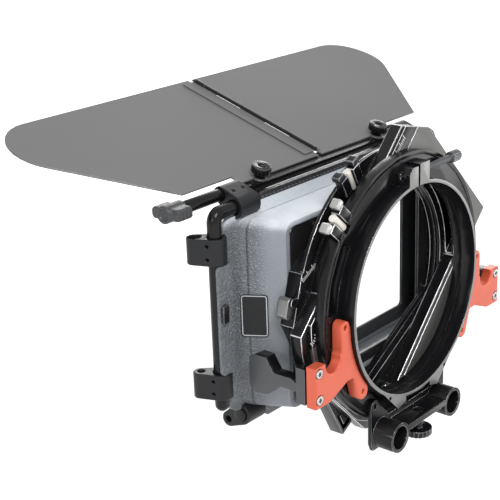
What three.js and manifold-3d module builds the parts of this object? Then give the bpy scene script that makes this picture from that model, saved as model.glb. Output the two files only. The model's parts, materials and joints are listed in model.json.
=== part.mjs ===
// A wide-angle matte box for a film camera. Millimetres, +Z up, +Y towards the subject.
// The origin lies on the optical axis, in the rear face of the clamp ring.
// Seen from behind the camera +X is to the right.
import * as THREE from 'three';
import { mergeVertices } from 'three/addons/utils/BufferGeometryUtils.js';
import Module from 'manifold-3d';

const wasm = await Module();
wasm.setup();

// Clearances that several pieces share
const gap = 0.3;
const overrun = 1;

// How finely round shapes are divided
const sides = { small: 12, medium: 20, large: 32, ring: 80, bend: 4 };
const quarterTurn = 90;

// Clamp ring round the lens
const clampRing = {
  boreRadius: 65,
  wall: 2,
  depth: 9.4,
  splitWidth: 2,
  leftLugWidth: 9,
  leftLugTop: 77,
  rightLugWidth: 10,
  rightLugTop: 78,
  earTipAcross: 22,
  earTipDrop: 71,
  earStartAcross: 38.5,
  earStartDrop: 54.4,
  earInnerAcross: 13.6,
  earInnerDrop: 68.6,
  earDepth: 6.3,
  earHoleAcross: 30.3,
  earHoleDrop: 60.5,
  earHoleRadius: 1.5,
};
const clampScrew = {
  height: 71.8,
  shaftRadius: 2,
  inset: 3,
  shaftReach: 40,
  headLength: 8.5,
  headRadius: 3.7,
  ridges: 14,
  ridgeDepth: 0.5,
};

// Red brackets that hold the base ring and the hooks
const bracket = {
  rear: 2.2,
  thickness: 7.2,
  hoodClear: 5,
  blockTop: 16,
  blockBottom: 41,
  notchShare: 0.286,
  notchCentreShare: 0.327,
  notchSinkShare: 0.143,
  armSide: 76,
  upperHoleAcross: 72,
  upperHoleDrop: 1,
  lowerHoleAcross: 55.4,
  lowerHoleDrop: 46.7,
  upperEndRadius: 4,
  endRadius: 5,
  holeRadius: 1.5,
  crotchAcross: 71,
  crotchDrop: 34.6,
  undersideShare: 0.551,
  screwInset: 3.5,
  upperScrewDrop: 20,
  lowerScrewDrop: 36.1,
};
const bracketScrew = {
  headRadius: 2.75,
  headLength: 2.6,
  proud: 0.3,
  shankRadius: 1.6,
  shankReach: 10,
  socketRadius: 1.4,
  socketDepth: 1.6,
};
const hook = {
  overhang: 0.5,
  thickness: 8,
  rootDepth: 6.3,
  rootTop: 18,
  rootBottom: 39.8,
  neckTop: 25.8,
  neckBottom: 32.9,
  neckReach: 22.2,
  biteStart: 24.9,
  biteFloor: 22,
  lipReach: 27.6,
  lipTop: 17.6,
  crownReach: 35.1,
  noseReach: 40,
  noseTop: 20.3,
  noseBottom: 38.2,
  chinReach: 36.5,
  chinBottom: 41.3,
  heelReach: 26.8,
  heelBottom: 40.4,
  bellyReach: 17.8,
};

// Base ring: hub, outer rim and the webs between them
const base = {
  depth: 6,
  hubWall: 5.3,
  rimOuter: 83,
  rimWidth: 4.5,
  windowAngles: [[144, 176], [190, 208]],
  grooveRadius: 80.2,
  grooveWidth: 0.9,
  grooveDepth: 0.5,
};

// Rod bracket under the ring
const rods = {
  boreRadius: 7.5,
  wall: 2,
  spacing: 60,
  drop: 85,
  rear: -7,
  bridgeTop: 80,
  bridgeThickness: 3.8,
  plateThickness: 2.5,
  plateHalfWidth: 40.8,
  earAcross: 36.3,
  earDrop: 66,
  earRadius: 4.5,
  earHoleRadius: 1.6,
  earValley: 76,
  earFoot: 22,
};
const rodKnob = {
  radius: 9,
  thickness: 4,
  stemRadius: 3,
  stemLength: 9,
  ridges: 20,
  ridgeDepth: 0.5,
};

// Rear filter stage, turned about the optical axis
const rearStage = {
  turn: 45,
  plateThickness: 2.5,
  frameDepth: 7.9,
  boreRadius: 70.5,
  boreFlat: 52,
  leftWall: 12.5,
  plateRightWall: 17.9,
  frameRightWall: 13.5,
  upperWall: 10,
  lowerWall: 5.3,
  hubWall: 3.5,
  plateSwingRadius: 86,
  frameSwingRadius: 92,
  cutAcross: 14,
  cutRise: 22,
  slotHalf: 51,
  slotThickness: 4.6,
  slotReach: 52,
};
// Front filter stage, turned about the same axis
const frontStage = {
  turn: 28,
  boreRadius: 67,
  boreFlat: 51.5,
  discWall: 16,
  discThickness: 2.3,
  depth: 9.6,
  leftWall: 11.6,
  rightWall: 9,
  upperWall: 10.5,
  lowerWall: 6.5,
  upperLeftCut: 22,
  upperRightCut: 14,
  lowerRightCut: 22,
  pocketWall: 1.8,
  pocketLength: 13.3,
  pocketDepth: 6,
};
const tray = {
  thickness: 3.4,
  wall: 3.5,
  leftWall: 4.5,
  upperLeftCut: 12,
  lowerLeftCut: 24,
  windowStep: 0.5,
  windowSill: 1,
  floor: 1.6,
  handleProud: 5,
  handleHalf: 22,
};
const stageKnob = {
  half: 4.2,
  proud: 0.6,
  stemRadius: 2,
  stemLength: 2,
};
const stageLever = {
  length: 13,
  shift: 5,
  thickness: 5.5,
  pivotRadius: 1.4,
  lugDepth: 1.8,
};

// Spring catches: an ivory pin between two grey thumb tabs
const latch = {
  bodyHalfWidth: 9,
  bodyLength: 11,
  bodyDepth: 6,
  pinRadius: 2.5,
  pinLength: 12.6,
  pinLead: 1,
  tabLength: 4,
  tabHalfWidth: 3,
  tabCentre: 7.6,
  tabDepth: 6,
};
const rearLatchAngle = 138.5;
const frontLatchAngle = 117;

// Adapter plate and hood
const adapter = {
  thickness: 2.1,
  sideBorder: 21.2,
  topBorder: 7,
  bottomBorder: 7.3,
  cornerRadius: 5,
  holeRadius: 1.3,
  holeInset: 2.4,
};
const hood = {
  flare: 15,
  rearTop: 56.3,
  rearBottom: 59.2,
  frontHalfWidth: 95.5,
  frontTop: 59.2,
  frontBottom: 59,
  grainDepth: 25,
  wall: 3,
  flangeDepth: 3,
  rearCornerRadius: 7,
  frontCornerRadius: 9,
  lipThickness: 1.9,
  lipWall: 1.6,
  lipOverhang: 1.2,
  lipCornerRadius: 2.5,
};
const mask = {
  thickness: 2,
  setBack: 6,
  sideBorder: 19.8,
  topBorder: 10.1,
  bottomBorder: 9.2,
  cornerRadius: 3,
};
const shade = { halfWidth: 40, height: 8.5, thickness: 2.1, cornerRadius: 3 };
const badge = { width: 16, height: 26, thickness: 0.6, cornerRadius: 2, centreRise: 0.8, setBack: 8.5 };
const hoodLatch = { width: 5, height: 11, thickness: 2, centreRise: 8.5 };

// Tube round the sides and the top of the hood, the bar below it and the clips on both
const tube = {
  radius: 4.2,
  sideClear: 15.1,
  topClear: 5.8,
  bottomClear: 4.6,
  bendRadius: 5,
  legShortfall: 13.3,
  barOverhang: 1.5,
};
const clip = {
  barrelWall: 2.3,
  frontRadius: 4.8,
  forward: 9.8,
  outward: 5.9,
  length: 15.5,
  topLength: 16.5,
  smallBore: 2.2,
  screwRadius: 1.1,
  screwDepth: 3,
  topScrewForward: 2.9,
  topInset: 18,
  sideUpperInset: 20.5,
  sideLowerInset: 26.1,
  bottomInset: 0.6,
};

// Flag, its bar and knobs; lengths run along the slope of the flag
const flag = {
  tilt: 18.1,
  sheetThickness: 1,
  sheetRise: 1.5,
  rearEdge: 0.2,
  shoulder: 8,
  farEdge: 113,
  nearOverhang: 6.4,
  endRadius: 28,
  endReach: 26,
  hingeGap: 1.8,
  screwLand: 4.6,
};
const flagBar = {
  rodRadius: 3.7,
  halfWidth: 4.5,
  underside: 3.5,
  topRise: 1.2,
  clipClear: 1.5,
  leftOverhang: 14.4,
  rightOverhang: 2,
  pinRadius: 2,
  pinLength: 11,
};
const wingKnob = {
  hubRadius: 5.2,
  length: 15,
  lobeReach: 10.5,
  lobeThickness: 7,
  lobeInset: 2,
  grooves: 4,
  grooveDepth: 0.8,
  recessRadius: 3.4,
  recessDepth: 1.5,
  restTurn: -20,
};
const thumbScrew = {
  inset: 16.5,
  shaftRadius: 2,
  shaftBite: 2.4,
  collarRadius: 3.6,
  collarHeight: 3,
  headRadius: 6,
  headHeight: 4.2,
  recessRadius: 2.6,
  recessDepth: 1.2,
  ridges: 16,
  ridgeDepth: 0.4,
};
const flagHinge = {
  leftStripWidth: 11,
  rightStripWidth: 4.5,
  stripThickness: 0.5,
  knuckleRadius: 1.25,
  pinRadius: 0.6,
  knuckles: 5,
  margin: 4,
};

// Places along the optical axis, each from the piece behind it
const bracketFront = bracket.rear + bracket.thickness;
const baseRear = bracketFront + gap;
const baseFront = baseRear + base.depth;
const rearStageRear = baseFront + gap;
const rearFrameRear = rearStageRear + rearStage.plateThickness + gap;
const rearStageFront = rearFrameRear + rearStage.frameDepth;
const frontStageRear = rearStageFront + gap;
const frontBodyRear = frontStageRear + frontStage.discThickness;
const frontStageFront = frontStageRear + frontStage.depth;
const adapterRear = frontStageFront + gap;
const hoodRear = adapterRear;
const hoodFlangeRear = hoodRear + hood.grainDepth;
const hoodFront = hoodFlangeRear + hood.flangeDepth;
const tubeAxis = (hoodFlangeRear + hoodFront) / 2;
const clipBarrelRadius = tube.radius + gap + clip.barrelWall;
const rodAxisForward = tubeAxis + clip.forward;

// Places across and up, each from the hood
const bracketOuter = hood.frontHalfWidth + bracket.hoodClear;
const bracketRun = bracketOuter - bracket.armSide;
const hoodRearHalfWidth = hood.frontHalfWidth - hood.flare;
const tubeHalfWidth = hood.frontHalfWidth + tube.sideClear;
const tubeTop = hood.frontTop + tube.topClear;
const barDrop = hood.frontBottom + tube.bottomClear;
const rodAxisRise = tubeTop + clip.outward;
const topClipInner = hood.frontHalfWidth - clip.topInset;
const topClipOuter = topClipInner + clip.topLength;
const bottomClipOuter = hood.frontHalfWidth - clip.bottomInset;
const sideUpperRise = tubeTop - clip.sideUpperInset;
const sideLowerRise = -barDrop + clip.sideLowerInset;
const flagBarReach = topClipInner - flagBar.clipClear;
const rodLeftReach = tubeHalfWidth + flagBar.leftOverhang;
const rodRightReach = topClipOuter + flagBar.rightOverhang;
const thumbScrewAcross = flagBarReach - thumbScrew.inset;
const flagNearHalfWidth = tubeHalfWidth + flag.nearOverhang;
const flagEndAcross = flagNearHalfWidth + flag.endReach;

// Outlines of the stages, each a wall round its bore
const rearLeftReach = rearStage.boreRadius + rearStage.leftWall;
const plateRightReach = rearStage.boreRadius + rearStage.plateRightWall;
const frameRightReach = rearStage.boreRadius + rearStage.frameRightWall;
const rearUpper = rearStage.boreFlat + rearStage.upperWall;
const rearLower = rearStage.boreFlat + rearStage.lowerWall;
const rearHubRadius = rearStage.boreRadius + rearStage.hubWall;
const discRadius = frontStage.boreRadius + frontStage.discWall;
const frontLeftReach = frontStage.boreRadius + frontStage.leftWall;
const frontRightReach = frontStage.boreRadius + frontStage.rightWall;
const frontUpper = frontStage.boreFlat + frontStage.upperWall;
const frontLower = frontStage.boreFlat + frontStage.lowerWall;
const windowRadius = frontStage.boreRadius + tray.windowStep;
const windowHalf = frontStage.boreFlat - tray.windowSill;
const trayLeftReach = windowRadius + tray.leftWall;
const trayHalfWidth = windowHalf + tray.wall;

const X = new THREE.Vector3(1, 0, 0);
const Y = new THREE.Vector3(0, 1, 0);
const Z = new THREE.Vector3(0, 0, 1);

function toSolid(geometry) {
  const bare = geometry.index ? geometry.clone() : geometry;
  bare.deleteAttribute('normal');
  bare.deleteAttribute('uv');
  const merged = mergeVertices(bare);
  return new wasm.Manifold(new wasm.Mesh({
    numProp: 3,
    vertProperties: new Float32Array(merged.attributes.position.array),
    triVerts: new Uint32Array(merged.index.array),
  }));
}

function toGeometry(solid) {
  const mesh = solid.getMesh();
  const geometry = new THREE.BufferGeometry();
  geometry.setAttribute('position', new THREE.BufferAttribute(mesh.vertProperties, 3));
  geometry.setIndex(new THREE.BufferAttribute(mesh.triVerts, 1));
  return geometry;
}

const radians = (degrees) => THREE.MathUtils.degToRad(degrees);

// Points of an arc, angles in degrees
function arc(across, rise, radius, from, to, steps) {
  const points = [];
  for (let i = 0; i <= steps; i++) {
    const angle = radians(from + ((to - from) * i) / steps);
    points.push(new THREE.Vector2(across + radius * Math.cos(angle), rise + radius * Math.sin(angle)));
  }
  return points;
}

function circle(across, rise, radius, count = sides.medium) {
  return arc(across, rise, radius, 0, 360 - 360 / count, count - 1);
}

function roundedBox(left, right, bottom, top, radius, steps = sides.bend) {
  return [
    ...arc(right - radius, top - radius, radius, 0, 90, steps),
    ...arc(left + radius, top - radius, radius, 90, 180, steps),
    ...arc(left + radius, bottom + radius, radius, 180, 270, steps),
    ...arc(right - radius, bottom + radius, radius, 270, 360, steps),
  ];
}

const corners = (...pairs) => pairs.map(([across, rise]) => new THREE.Vector2(across, rise));

function extrude(outline, depth, basis, holes = []) {
  const shape = new THREE.Shape(outline);
  for (const hole of holes) shape.holes.push(new THREE.Path(hole));
  const geometry = new THREE.ExtrudeGeometry(shape, { depth, bevelEnabled: false });
  geometry.applyMatrix4(basis);
  return toSolid(geometry);
}

// Outline in X and Z, drawn out from rear to front along Y
function alongY(outline, rear, front, holes = []) {
  const basis = new THREE.Matrix4().makeBasis(X, Z, Y.clone().negate()).setPosition(0, front, 0);
  return extrude(outline, front - rear, basis, holes);
}

// Outline in Y and Z, drawn out from left to right along X
function alongX(outline, left, right, holes = []) {
  const basis = new THREE.Matrix4().makeBasis(Y, Z, X).setPosition(left, 0, 0);
  return extrude(outline, right - left, basis, holes);
}

// Outline in X and Y, drawn out upwards along Z
function alongZ(outline, bottom, top, holes = []) {
  const basis = new THREE.Matrix4().setPosition(0, 0, bottom);
  return extrude(outline, top - bottom, basis, holes);
}

const block = (left, right, rear, front, bottom, top) => (
  alongZ(corners([left, rear], [right, rear], [right, front], [left, front]), bottom, top)
);

const union = (first, ...rest) => rest.reduce((whole, piece) => whole.add(piece), first);
const cut = (first, ...tools) => tools.reduce((whole, tool) => whole.subtract(tool), first);

function mirrored(solid) {
  return solid.mirror([1, 0, 0]);
}

// A closed skin over a row of loops that all have the same number of points
function loft(loops) {
  const count = loops[0].length;
  const points = loops.flat();
  const index = [];
  for (let ring = 0; ring + 1 < loops.length; ring++) {
    for (let i = 0; i < count; i++) {
      const a = ring * count + i;
      const b = ring * count + ((i + 1) % count);
      index.push(a, b, a + count, b, b + count, a + count);
    }
  }
  const last = (loops.length - 1) * count;
  for (let i = 1; i + 1 < count; i++) {
    index.push(0, i + 1, i);
    index.push(last, last + i, last + i + 1);
  }
  const geometry = new THREE.BufferGeometry().setFromPoints(points);
  geometry.setIndex(index);
  const solid = new wasm.Manifold(new wasm.Mesh({
    numProp: 3,
    vertProperties: new Float32Array(geometry.attributes.position.array),
    triVerts: new Uint32Array(index),
  }));
  return solid;
}

// Loop in X and Z at one place on Y, ordered so that loft faces outward towards +Y
function loopAt(outline, y) {
  return outline.map((point) => new THREE.Vector3(point.x, y, point.y)).reverse();
}

function ridged(radius, depth, count) {
  const points = [];
  for (let i = 0; i < count; i++) {
    const step = 360 / count;
    points.push(...arc(0, 0, radius, i * step, i * step + step / 2, 1));
    points.push(...arc(0, 0, radius - depth, i * step + step / 2, i * step + step, 1).slice(1));
  }
  return points.filter((point, i) => i === 0 || point.distanceTo(points[i - 1]) > 0);
}

const colours = {
  black: [0x151517, 0.38, 0.55],
  deepBlack: [0x0d0d0e, 0.6, 0.2],
  red: [0xd84a34, 0.38, 0.5],
  darkGrey: [0x4b4c4e, 0.5, 0.3],
  hookGrey: [0x606366, 0.45, 0.4],
  satin: [0x9a9a95, 0.35, 0.7],
  ivory: [0xe9e6dc, 0.45, 0],
  steel: [0xc8c8c8, 0.25, 0.9],
  hoodGrey: [0x6e7680, 0.55, 0.1],
  flagGrey: [0x66686a, 0.55, 0.4],
};

function piece(name, solid, colour) {
  const [color, roughness, metalness] = colours[colour];
  const mesh = new THREE.Mesh(toGeometry(solid), new THREE.MeshStandardMaterial({ color, roughness, metalness }));
  mesh.name = name;
  return mesh;
}

const part = new THREE.Group();

// Clamp ring with its split, its two lugs on top and two ears below
const ringOuter = clampRing.boreRadius + clampRing.wall;
const leftLugLeft = -clampRing.splitWidth - clampRing.leftLugWidth;
const lugFoot = clampRing.boreRadius - clampRing.wall;
const leftLug = alongY(corners(
  [leftLugLeft, lugFoot - clampRing.wall],
  [0, lugFoot],
  [0, clampRing.leftLugTop],
  [leftLugLeft + clampScrew.inset, clampRing.leftLugTop],
  [leftLugLeft, clampRing.leftLugTop - clampScrew.headRadius],
), 0, clampRing.depth);
const rightLug = alongY(corners(
  [0, lugFoot],
  [clampRing.rightLugWidth, lugFoot],
  [clampRing.rightLugWidth, clampRing.rightLugTop],
  [0, clampRing.rightLugTop],
), 0, clampRing.depth);
const ear = alongY(corners(
  [-clampRing.earStartAcross, -clampRing.earStartDrop],
  [-clampRing.earTipAcross, -clampRing.earTipDrop],
  [-clampRing.earInnerAcross, -clampRing.earInnerDrop],
  [-clampRing.earInnerAcross, -lugFoot + clampRing.wall],
  [-clampRing.earStartAcross, -clampRing.earStartDrop + clampRing.wall],
), 0, clampRing.earDepth).subtract(alongY(
  circle(-clampRing.earHoleAcross, -clampRing.earHoleDrop, clampRing.earHoleRadius, sides.small),
  -overrun,
  clampRing.earDepth + overrun,
));
const screwWay = alongX(
  circle(clampRing.depth / 2, clampScrew.height, clampScrew.shaftRadius + gap, sides.small),
  leftLugLeft - overrun,
  clampRing.rightLugWidth + overrun,
);
const ringBody = union(
  alongY(circle(0, 0, ringOuter, sides.ring), 0, clampRing.depth),
  leftLug,
  rightLug,
  ear,
  mirrored(ear),
);
part.add(piece('clamp_ring', cut(
  ringBody,
  alongY(circle(0, 0, clampRing.boreRadius, sides.ring), -overrun, clampRing.depth + overrun),
  block(-clampRing.splitWidth, 0, -overrun, clampRing.depth + overrun, 0, clampRing.leftLugTop + overrun),
  screwWay,
), 'black'));

const screwShaft = alongX(
  circle(clampRing.depth / 2, clampScrew.height, clampScrew.shaftRadius, sides.small),
  leftLugLeft + clampScrew.inset,
  clampScrew.shaftReach,
);
const screwHead = alongX(
  ridged(clampScrew.headRadius, clampScrew.ridgeDepth, clampScrew.ridges),
  clampScrew.shaftReach,
  clampScrew.shaftReach + clampScrew.headLength,
).translate([0, clampRing.depth / 2, clampScrew.height]);
part.add(piece('clamp_screw', screwShaft.add(screwHead), 'black'));

// Red brackets: an arm between two eyes, a block at its outer side and the neck between them
const bracketPrism = (outline) => alongY(outline, bracket.rear, bracketFront);
const bracketArm = wasm.Manifold.hull([
  bracketPrism(circle(-bracket.upperHoleAcross, -bracket.upperHoleDrop, bracket.upperEndRadius)),
  bracketPrism(circle(-bracket.lowerHoleAcross, -bracket.lowerHoleDrop, bracket.endRadius)),
]);
const bracketBlock = wasm.Manifold.hull([bracketPrism(corners(
  [-bracketOuter, -bracket.blockBottom],
  [-bracketOuter + bracketRun * bracket.undersideShare, -bracket.blockBottom],
  [-bracket.crotchAcross, -bracket.crotchDrop],
  [-bracket.crotchAcross, -bracket.blockTop],
  [-bracketOuter, -bracket.blockTop],
))]);
const crotchShare = (bracket.crotchDrop - bracket.upperHoleDrop) / (bracket.lowerHoleDrop - bracket.upperHoleDrop);
const armAcross = THREE.MathUtils.lerp(bracket.upperHoleAcross, bracket.lowerHoleAcross, crotchShare);
const bracketNeck = bracketPrism(corners(
  [-bracket.armSide, -bracket.crotchDrop],
  [-armAcross, -bracket.crotchDrop],
  [-bracket.upperHoleAcross, -bracket.upperHoleDrop],
  [-bracket.armSide, -bracket.upperHoleDrop],
));
const bracketBody = union(bracketArm, bracketBlock, bracketNeck);
const screwAcross = bracketOuter - bracket.screwInset;
const notchRadius = bracketRun * bracket.notchShare;
const notchAcross = bracket.armSide + bracketRun * bracket.notchCentreShare;
const notchDrop = bracket.blockTop + notchRadius * bracket.notchSinkShare;
const bracketNotch = alongY(
  circle(-notchAcross, -notchDrop, notchRadius, sides.large),
  bracket.rear - overrun,
  bracketFront + overrun,
);
function screwHole(drop, radius, rear, front) {
  return alongY(circle(-screwAcross, -drop, radius, sides.small), rear, front);
}
const counterBoreFloor = bracket.rear + bracketScrew.headLength;
const leftBracket = cut(
  bracketBody,
  bracketNotch,
  alongY(circle(0, 0, ringOuter + gap, sides.ring), bracket.rear - overrun, bracketFront + overrun),
  ...[
    [bracket.upperHoleAcross, bracket.upperHoleDrop],
    [bracket.lowerHoleAcross, bracket.lowerHoleDrop],
  ].map(([across, drop]) => (
    alongY(circle(-across, -drop, bracket.holeRadius, sides.small), bracket.rear - overrun, bracketFront + overrun)
  )),
  ...[bracket.upperScrewDrop, bracket.lowerScrewDrop].flatMap((drop) => [
    screwHole(drop, bracketScrew.shankRadius + gap, bracket.rear - overrun, bracketFront + overrun),
    screwHole(drop, bracketScrew.headRadius + gap, bracket.rear - overrun, counterBoreFloor),
  ]),
);
part.add(piece('red_bracket_left', leftBracket, 'red'));
part.add(piece('red_bracket_right', mirrored(leftBracket), 'red'));

const headRear = bracket.rear - bracketScrew.proud;
const shankFront = bracketFront + bracketScrew.shankReach - bracketScrew.headLength;
for (const [level, drop] of [['upper', bracket.upperScrewDrop], ['lower', bracket.lowerScrewDrop]]) {
  const screw = union(
    screwHole(drop, bracketScrew.headRadius, headRear, counterBoreFloor - gap),
    screwHole(drop, bracketScrew.shankRadius, counterBoreFloor - gap, shankFront),
  ).subtract(alongY(
    circle(-screwAcross, -drop, bracketScrew.socketRadius, 6),
    headRear - overrun,
    headRear + bracketScrew.socketDepth,
  ));
  part.add(piece(`bracket_screw_${level}_left`, screw, 'steel'));
  part.add(piece(`bracket_screw_${level}_right`, mirrored(screw), 'steel'));
}

// Grey hooks in front of the red brackets
const hookRear = bracketFront + gap;
const hookOutline = corners(
  [hookRear, -hook.rootTop],
  [hookRear + hook.rootDepth, -hook.rootTop],
  [hookRear + hook.rootDepth, -hook.neckTop - hook.thickness / 4],
  [hookRear + hook.rootDepth + hook.thickness / 2, -hook.neckTop],
  [hookRear + hook.neckReach, -hook.neckTop],
  [hookRear + hook.biteStart, -hook.biteFloor],
  [hookRear + hook.lipReach, -hook.lipTop],
  [hookRear + hook.crownReach, -hook.lipTop],
  [hookRear + hook.noseReach, -hook.noseTop],
  [hookRear + hook.noseReach, -hook.noseBottom],
  [hookRear + hook.chinReach, -hook.chinBottom],
  [hookRear + hook.heelReach, -hook.heelBottom],
  [hookRear + hook.bellyReach, -hook.neckBottom],
  [hookRear + hook.rootDepth, -hook.neckBottom],
  [hookRear + hook.rootDepth, -hook.rootBottom],
  [hookRear, -hook.rootBottom],
).reverse();
const leftHook = cut(
  alongX(hookOutline, -bracketOuter - hook.overhang, -bracketOuter - hook.overhang + hook.thickness),
  ...[bracket.upperScrewDrop, bracket.lowerScrewDrop].map((drop) => (
    screwHole(drop, bracketScrew.shankRadius + gap, hookRear - overrun, hookRear + hook.rootDepth + overrun)
  )),
);
part.add(piece('hook_left', leftHook, 'hookGrey'));
part.add(piece('hook_right', mirrored(leftHook), 'hookGrey'));

// Base ring with windows between its hub and its rim
const hubOuter = clampRing.boreRadius + base.hubWall;
const rimInner = base.rimOuter - base.rimWidth;
function sector(inner, outer, from, to, rear, front) {
  const steps = Math.ceil((to - from) / (360 / sides.ring));
  return alongY([...arc(0, 0, outer, from, to, steps), ...arc(0, 0, inner, to, from, steps)], rear, front);
}
function latchFrame(angle) {
  return (solid) => solid.rotate([0, -angle, 0]);
}
const rearLatch = latchFrame(rearLatchAngle);
const latchSeat = base.rimOuter - base.rimWidth / 2;
const pinWay = latch.pinRadius + gap;
const baseWindows = base.windowAngles.map(([from, to]) => (
  sector(hubOuter, rimInner, from, to, baseRear - overrun, baseFront + overrun)
));
const rimGroove = alongY(
  circle(0, 0, base.grooveRadius + base.grooveWidth / 2, sides.ring),
  baseRear - overrun,
  baseRear + base.grooveDepth,
  [circle(0, 0, base.grooveRadius - base.grooveWidth / 2, sides.ring)],
);
part.add(piece('base_ring', cut(
  alongY(circle(0, 0, base.rimOuter, sides.ring), baseRear, baseFront, [
    circle(0, 0, clampRing.boreRadius, sides.ring),
  ]),
  ...baseWindows,
  rimGroove,
  rearLatch(block(
    rimInner - overrun,
    base.rimOuter + overrun,
    baseRear - overrun,
    baseFront + overrun,
    -pinWay,
    pinWay,
  )),
  rearLatch(block(
    latchSeat,
    base.rimOuter + overrun,
    baseRear - overrun,
    baseFront + overrun,
    -latch.bodyHalfWidth - gap,
    latch.bodyHalfWidth + gap,
  )),
), 'black'));

// A catch: body with a channel, an ivory pin in it and a thumb tab on each side
function addLatch(group, name, angle, seat, rear) {
  const place = latchFrame(angle);
  const front = rear + latch.bodyDepth - gap;
  const middle = (rear + front) / 2;
  const bodyOuter = seat + latch.bodyLength;
  const body = cut(
    block(seat, bodyOuter, rear, front, -latch.bodyHalfWidth, latch.bodyHalfWidth),
    block(seat - overrun, bodyOuter + overrun, rear - overrun, middle + pinWay, -pinWay, pinWay),
  );
  group.add(piece(`${name}_body`, place(body), 'black'));
  const pin = alongX(
    circle(middle, 0, latch.pinRadius),
    seat - latch.pinLead,
    seat - latch.pinLead + latch.pinLength,
  );
  group.add(piece(`${name}_pin`, place(pin), 'ivory'));
  for (const [side, way] of [['upper', -1], ['lower', 1]]) {
    const centre = way * latch.tabCentre;
    const tab = alongY(roundedBox(
      bodyOuter + gap,
      bodyOuter + gap + latch.tabLength,
      centre - latch.tabHalfWidth,
      centre + latch.tabHalfWidth,
      latch.tabLength / 4,
      2,
    ), rear, rear + latch.tabDepth - gap);
    group.add(piece(`${name}_tab_${side}`, place(tab), 'satin'));
  }
}
addLatch(part, 'rear_catch', rearLatchAngle, latchSeat + gap, baseRear);

// Rod bracket: two bosses, the bridge between them and a plate in front that rises to two ears
const rodAcross = rods.spacing / 2;
const bossRadius = rods.boreRadius + rods.wall;
const rodPlateFront = bracketFront;
const rodPlateRear = rodPlateFront - rods.plateThickness;
const bossBottom = -rods.drop - bossRadius;
const rodPlate = union(
  alongY(corners(
    [-rods.plateHalfWidth, bossBottom + bossRadius / 2],
    [-rods.plateHalfWidth + rods.wall, bossBottom],
    [-rodAcross, bossBottom],
    [-rodAcross + bossRadius, -rods.drop],
    [rodAcross - bossRadius, -rods.drop],
    [rodAcross, bossBottom],
    [rods.plateHalfWidth - rods.wall, bossBottom],
    [rods.plateHalfWidth, bossBottom + bossRadius / 2],
    [rods.plateHalfWidth, -rods.earDrop],
    [rods.earAcross, -rods.earDrop + rods.earRadius],
    [rods.earFoot, -rods.earValley],
    [-rods.earFoot, -rods.earValley],
    [-rods.earAcross, -rods.earDrop + rods.earRadius],
    [-rods.plateHalfWidth, -rods.earDrop],
  ), rodPlateRear, rodPlateFront),
  alongY(circle(-rods.earAcross, -rods.earDrop, rods.earRadius), rodPlateRear, rodPlateFront),
  alongY(circle(rods.earAcross, -rods.earDrop, rods.earRadius), rodPlateRear, rodPlateFront),
);
const bosses = [-rodAcross, rodAcross].map((across) => (
  alongY(circle(across, -rods.drop, bossRadius, sides.large), rods.rear, rodPlateFront)
));
const bridge = block(
  -rodAcross,
  rodAcross,
  rods.rear,
  rodPlateFront,
  -rods.bridgeTop - rods.bridgeThickness,
  -rods.bridgeTop,
);
part.add(piece('rod_bracket', cut(
  union(rodPlate, bridge, ...bosses),
  ...[-rodAcross, rodAcross].map((across) => alongY(
    circle(across, -rods.drop, rods.boreRadius, sides.large),
    rods.rear - overrun,
    rodPlateFront + overrun,
  )),
  ...[-rods.earAcross, rods.earAcross].map((across) => alongY(
    circle(across, -rods.earDrop, rods.earHoleRadius, sides.small),
    rodPlateRear - overrun,
    rodPlateFront + overrun,
  )),
  alongZ(
    circle(0, 0, rodKnob.stemRadius + gap, sides.small),
    -rods.bridgeTop - rods.bridgeThickness - overrun,
    -rods.bridgeTop + overrun,
  ),
), 'black'));
const knobTop = -rods.bridgeTop + rods.bridgeThickness / 4 - rodKnob.stemLength - rods.bridgeThickness;
part.add(piece('rod_lock_knob', union(
  alongZ(circle(0, 0, rodKnob.stemRadius, sides.small), knobTop, -rods.bridgeTop - gap),
  alongZ(ridged(rodKnob.radius, rodKnob.ridgeDepth, rodKnob.ridges), knobTop - rodKnob.thickness, knobTop),
), 'black'));

// A filter stage's own group: X runs along its tray, Z across it
function stageGroup(turn) {
  const group = new THREE.Group();
  group.rotation.y = -radians(turn);
  part.add(group);
  return group;
}

// Rear stage: satin plate and a frame with an empty slot for a filter
const rearGroup = stageGroup(rearStage.turn);
const plateFront = rearStageRear + rearStage.plateThickness;
const rearOutline = corners(
  [-rearLeftReach, -rearLower],
  [plateRightReach, -rearLower],
  [plateRightReach, rearUpper - rearStage.cutRise],
  [plateRightReach - rearStage.cutAcross, rearUpper],
  [-rearLeftReach, rearUpper],
);
// Everything of the stage that lies within a radius on its left side
function rearSwing(radius, reach, rear, front) {
  return alongY(
    [...arc(0, 0, radius, 90, 270, sides.ring / 2), ...corners([reach, -radius], [reach, radius])],
    rear - overrun,
    front + overrun,
  );
}
const rearBore = (rear, front) => (
  alongY(circle(0, 0, rearStage.boreRadius, sides.ring), rear - overrun, front + overrun).subtract(block(
    -rearStage.boreRadius,
    rearStage.boreRadius,
    rear - overrun,
    front + overrun,
    -rearStage.boreRadius,
    -rearStage.boreFlat,
  ))
);
function rearLayer(rear, front, swingRadius, reach) {
  return cut(
    union(
      alongY(rearOutline, rear, front).intersect(rearSwing(swingRadius, reach, rear, front)),
      alongY(circle(0, 0, rearHubRadius, sides.ring), rear, front),
    ),
    rearBore(rear, front),
  );
}
rearGroup.add(piece('rear_stage_plate', rearLayer(
  rearStageRear,
  plateFront,
  rearStage.plateSwingRadius,
  plateRightReach,
), 'satin'));
const slotRear = rearFrameRear + (rearStage.frameDepth - rearStage.slotThickness) / 2;
rearGroup.add(piece('rear_stage_frame', rearLayer(
  rearFrameRear,
  rearStageFront,
  rearStage.frameSwingRadius,
  frameRightReach,
).subtract(block(
  -rearStage.slotReach,
  frameRightReach + overrun,
  slotRear,
  slotRear + rearStage.slotThickness,
  -rearStage.slotHalf,
  rearStage.slotHalf,
)), 'black'));

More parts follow.
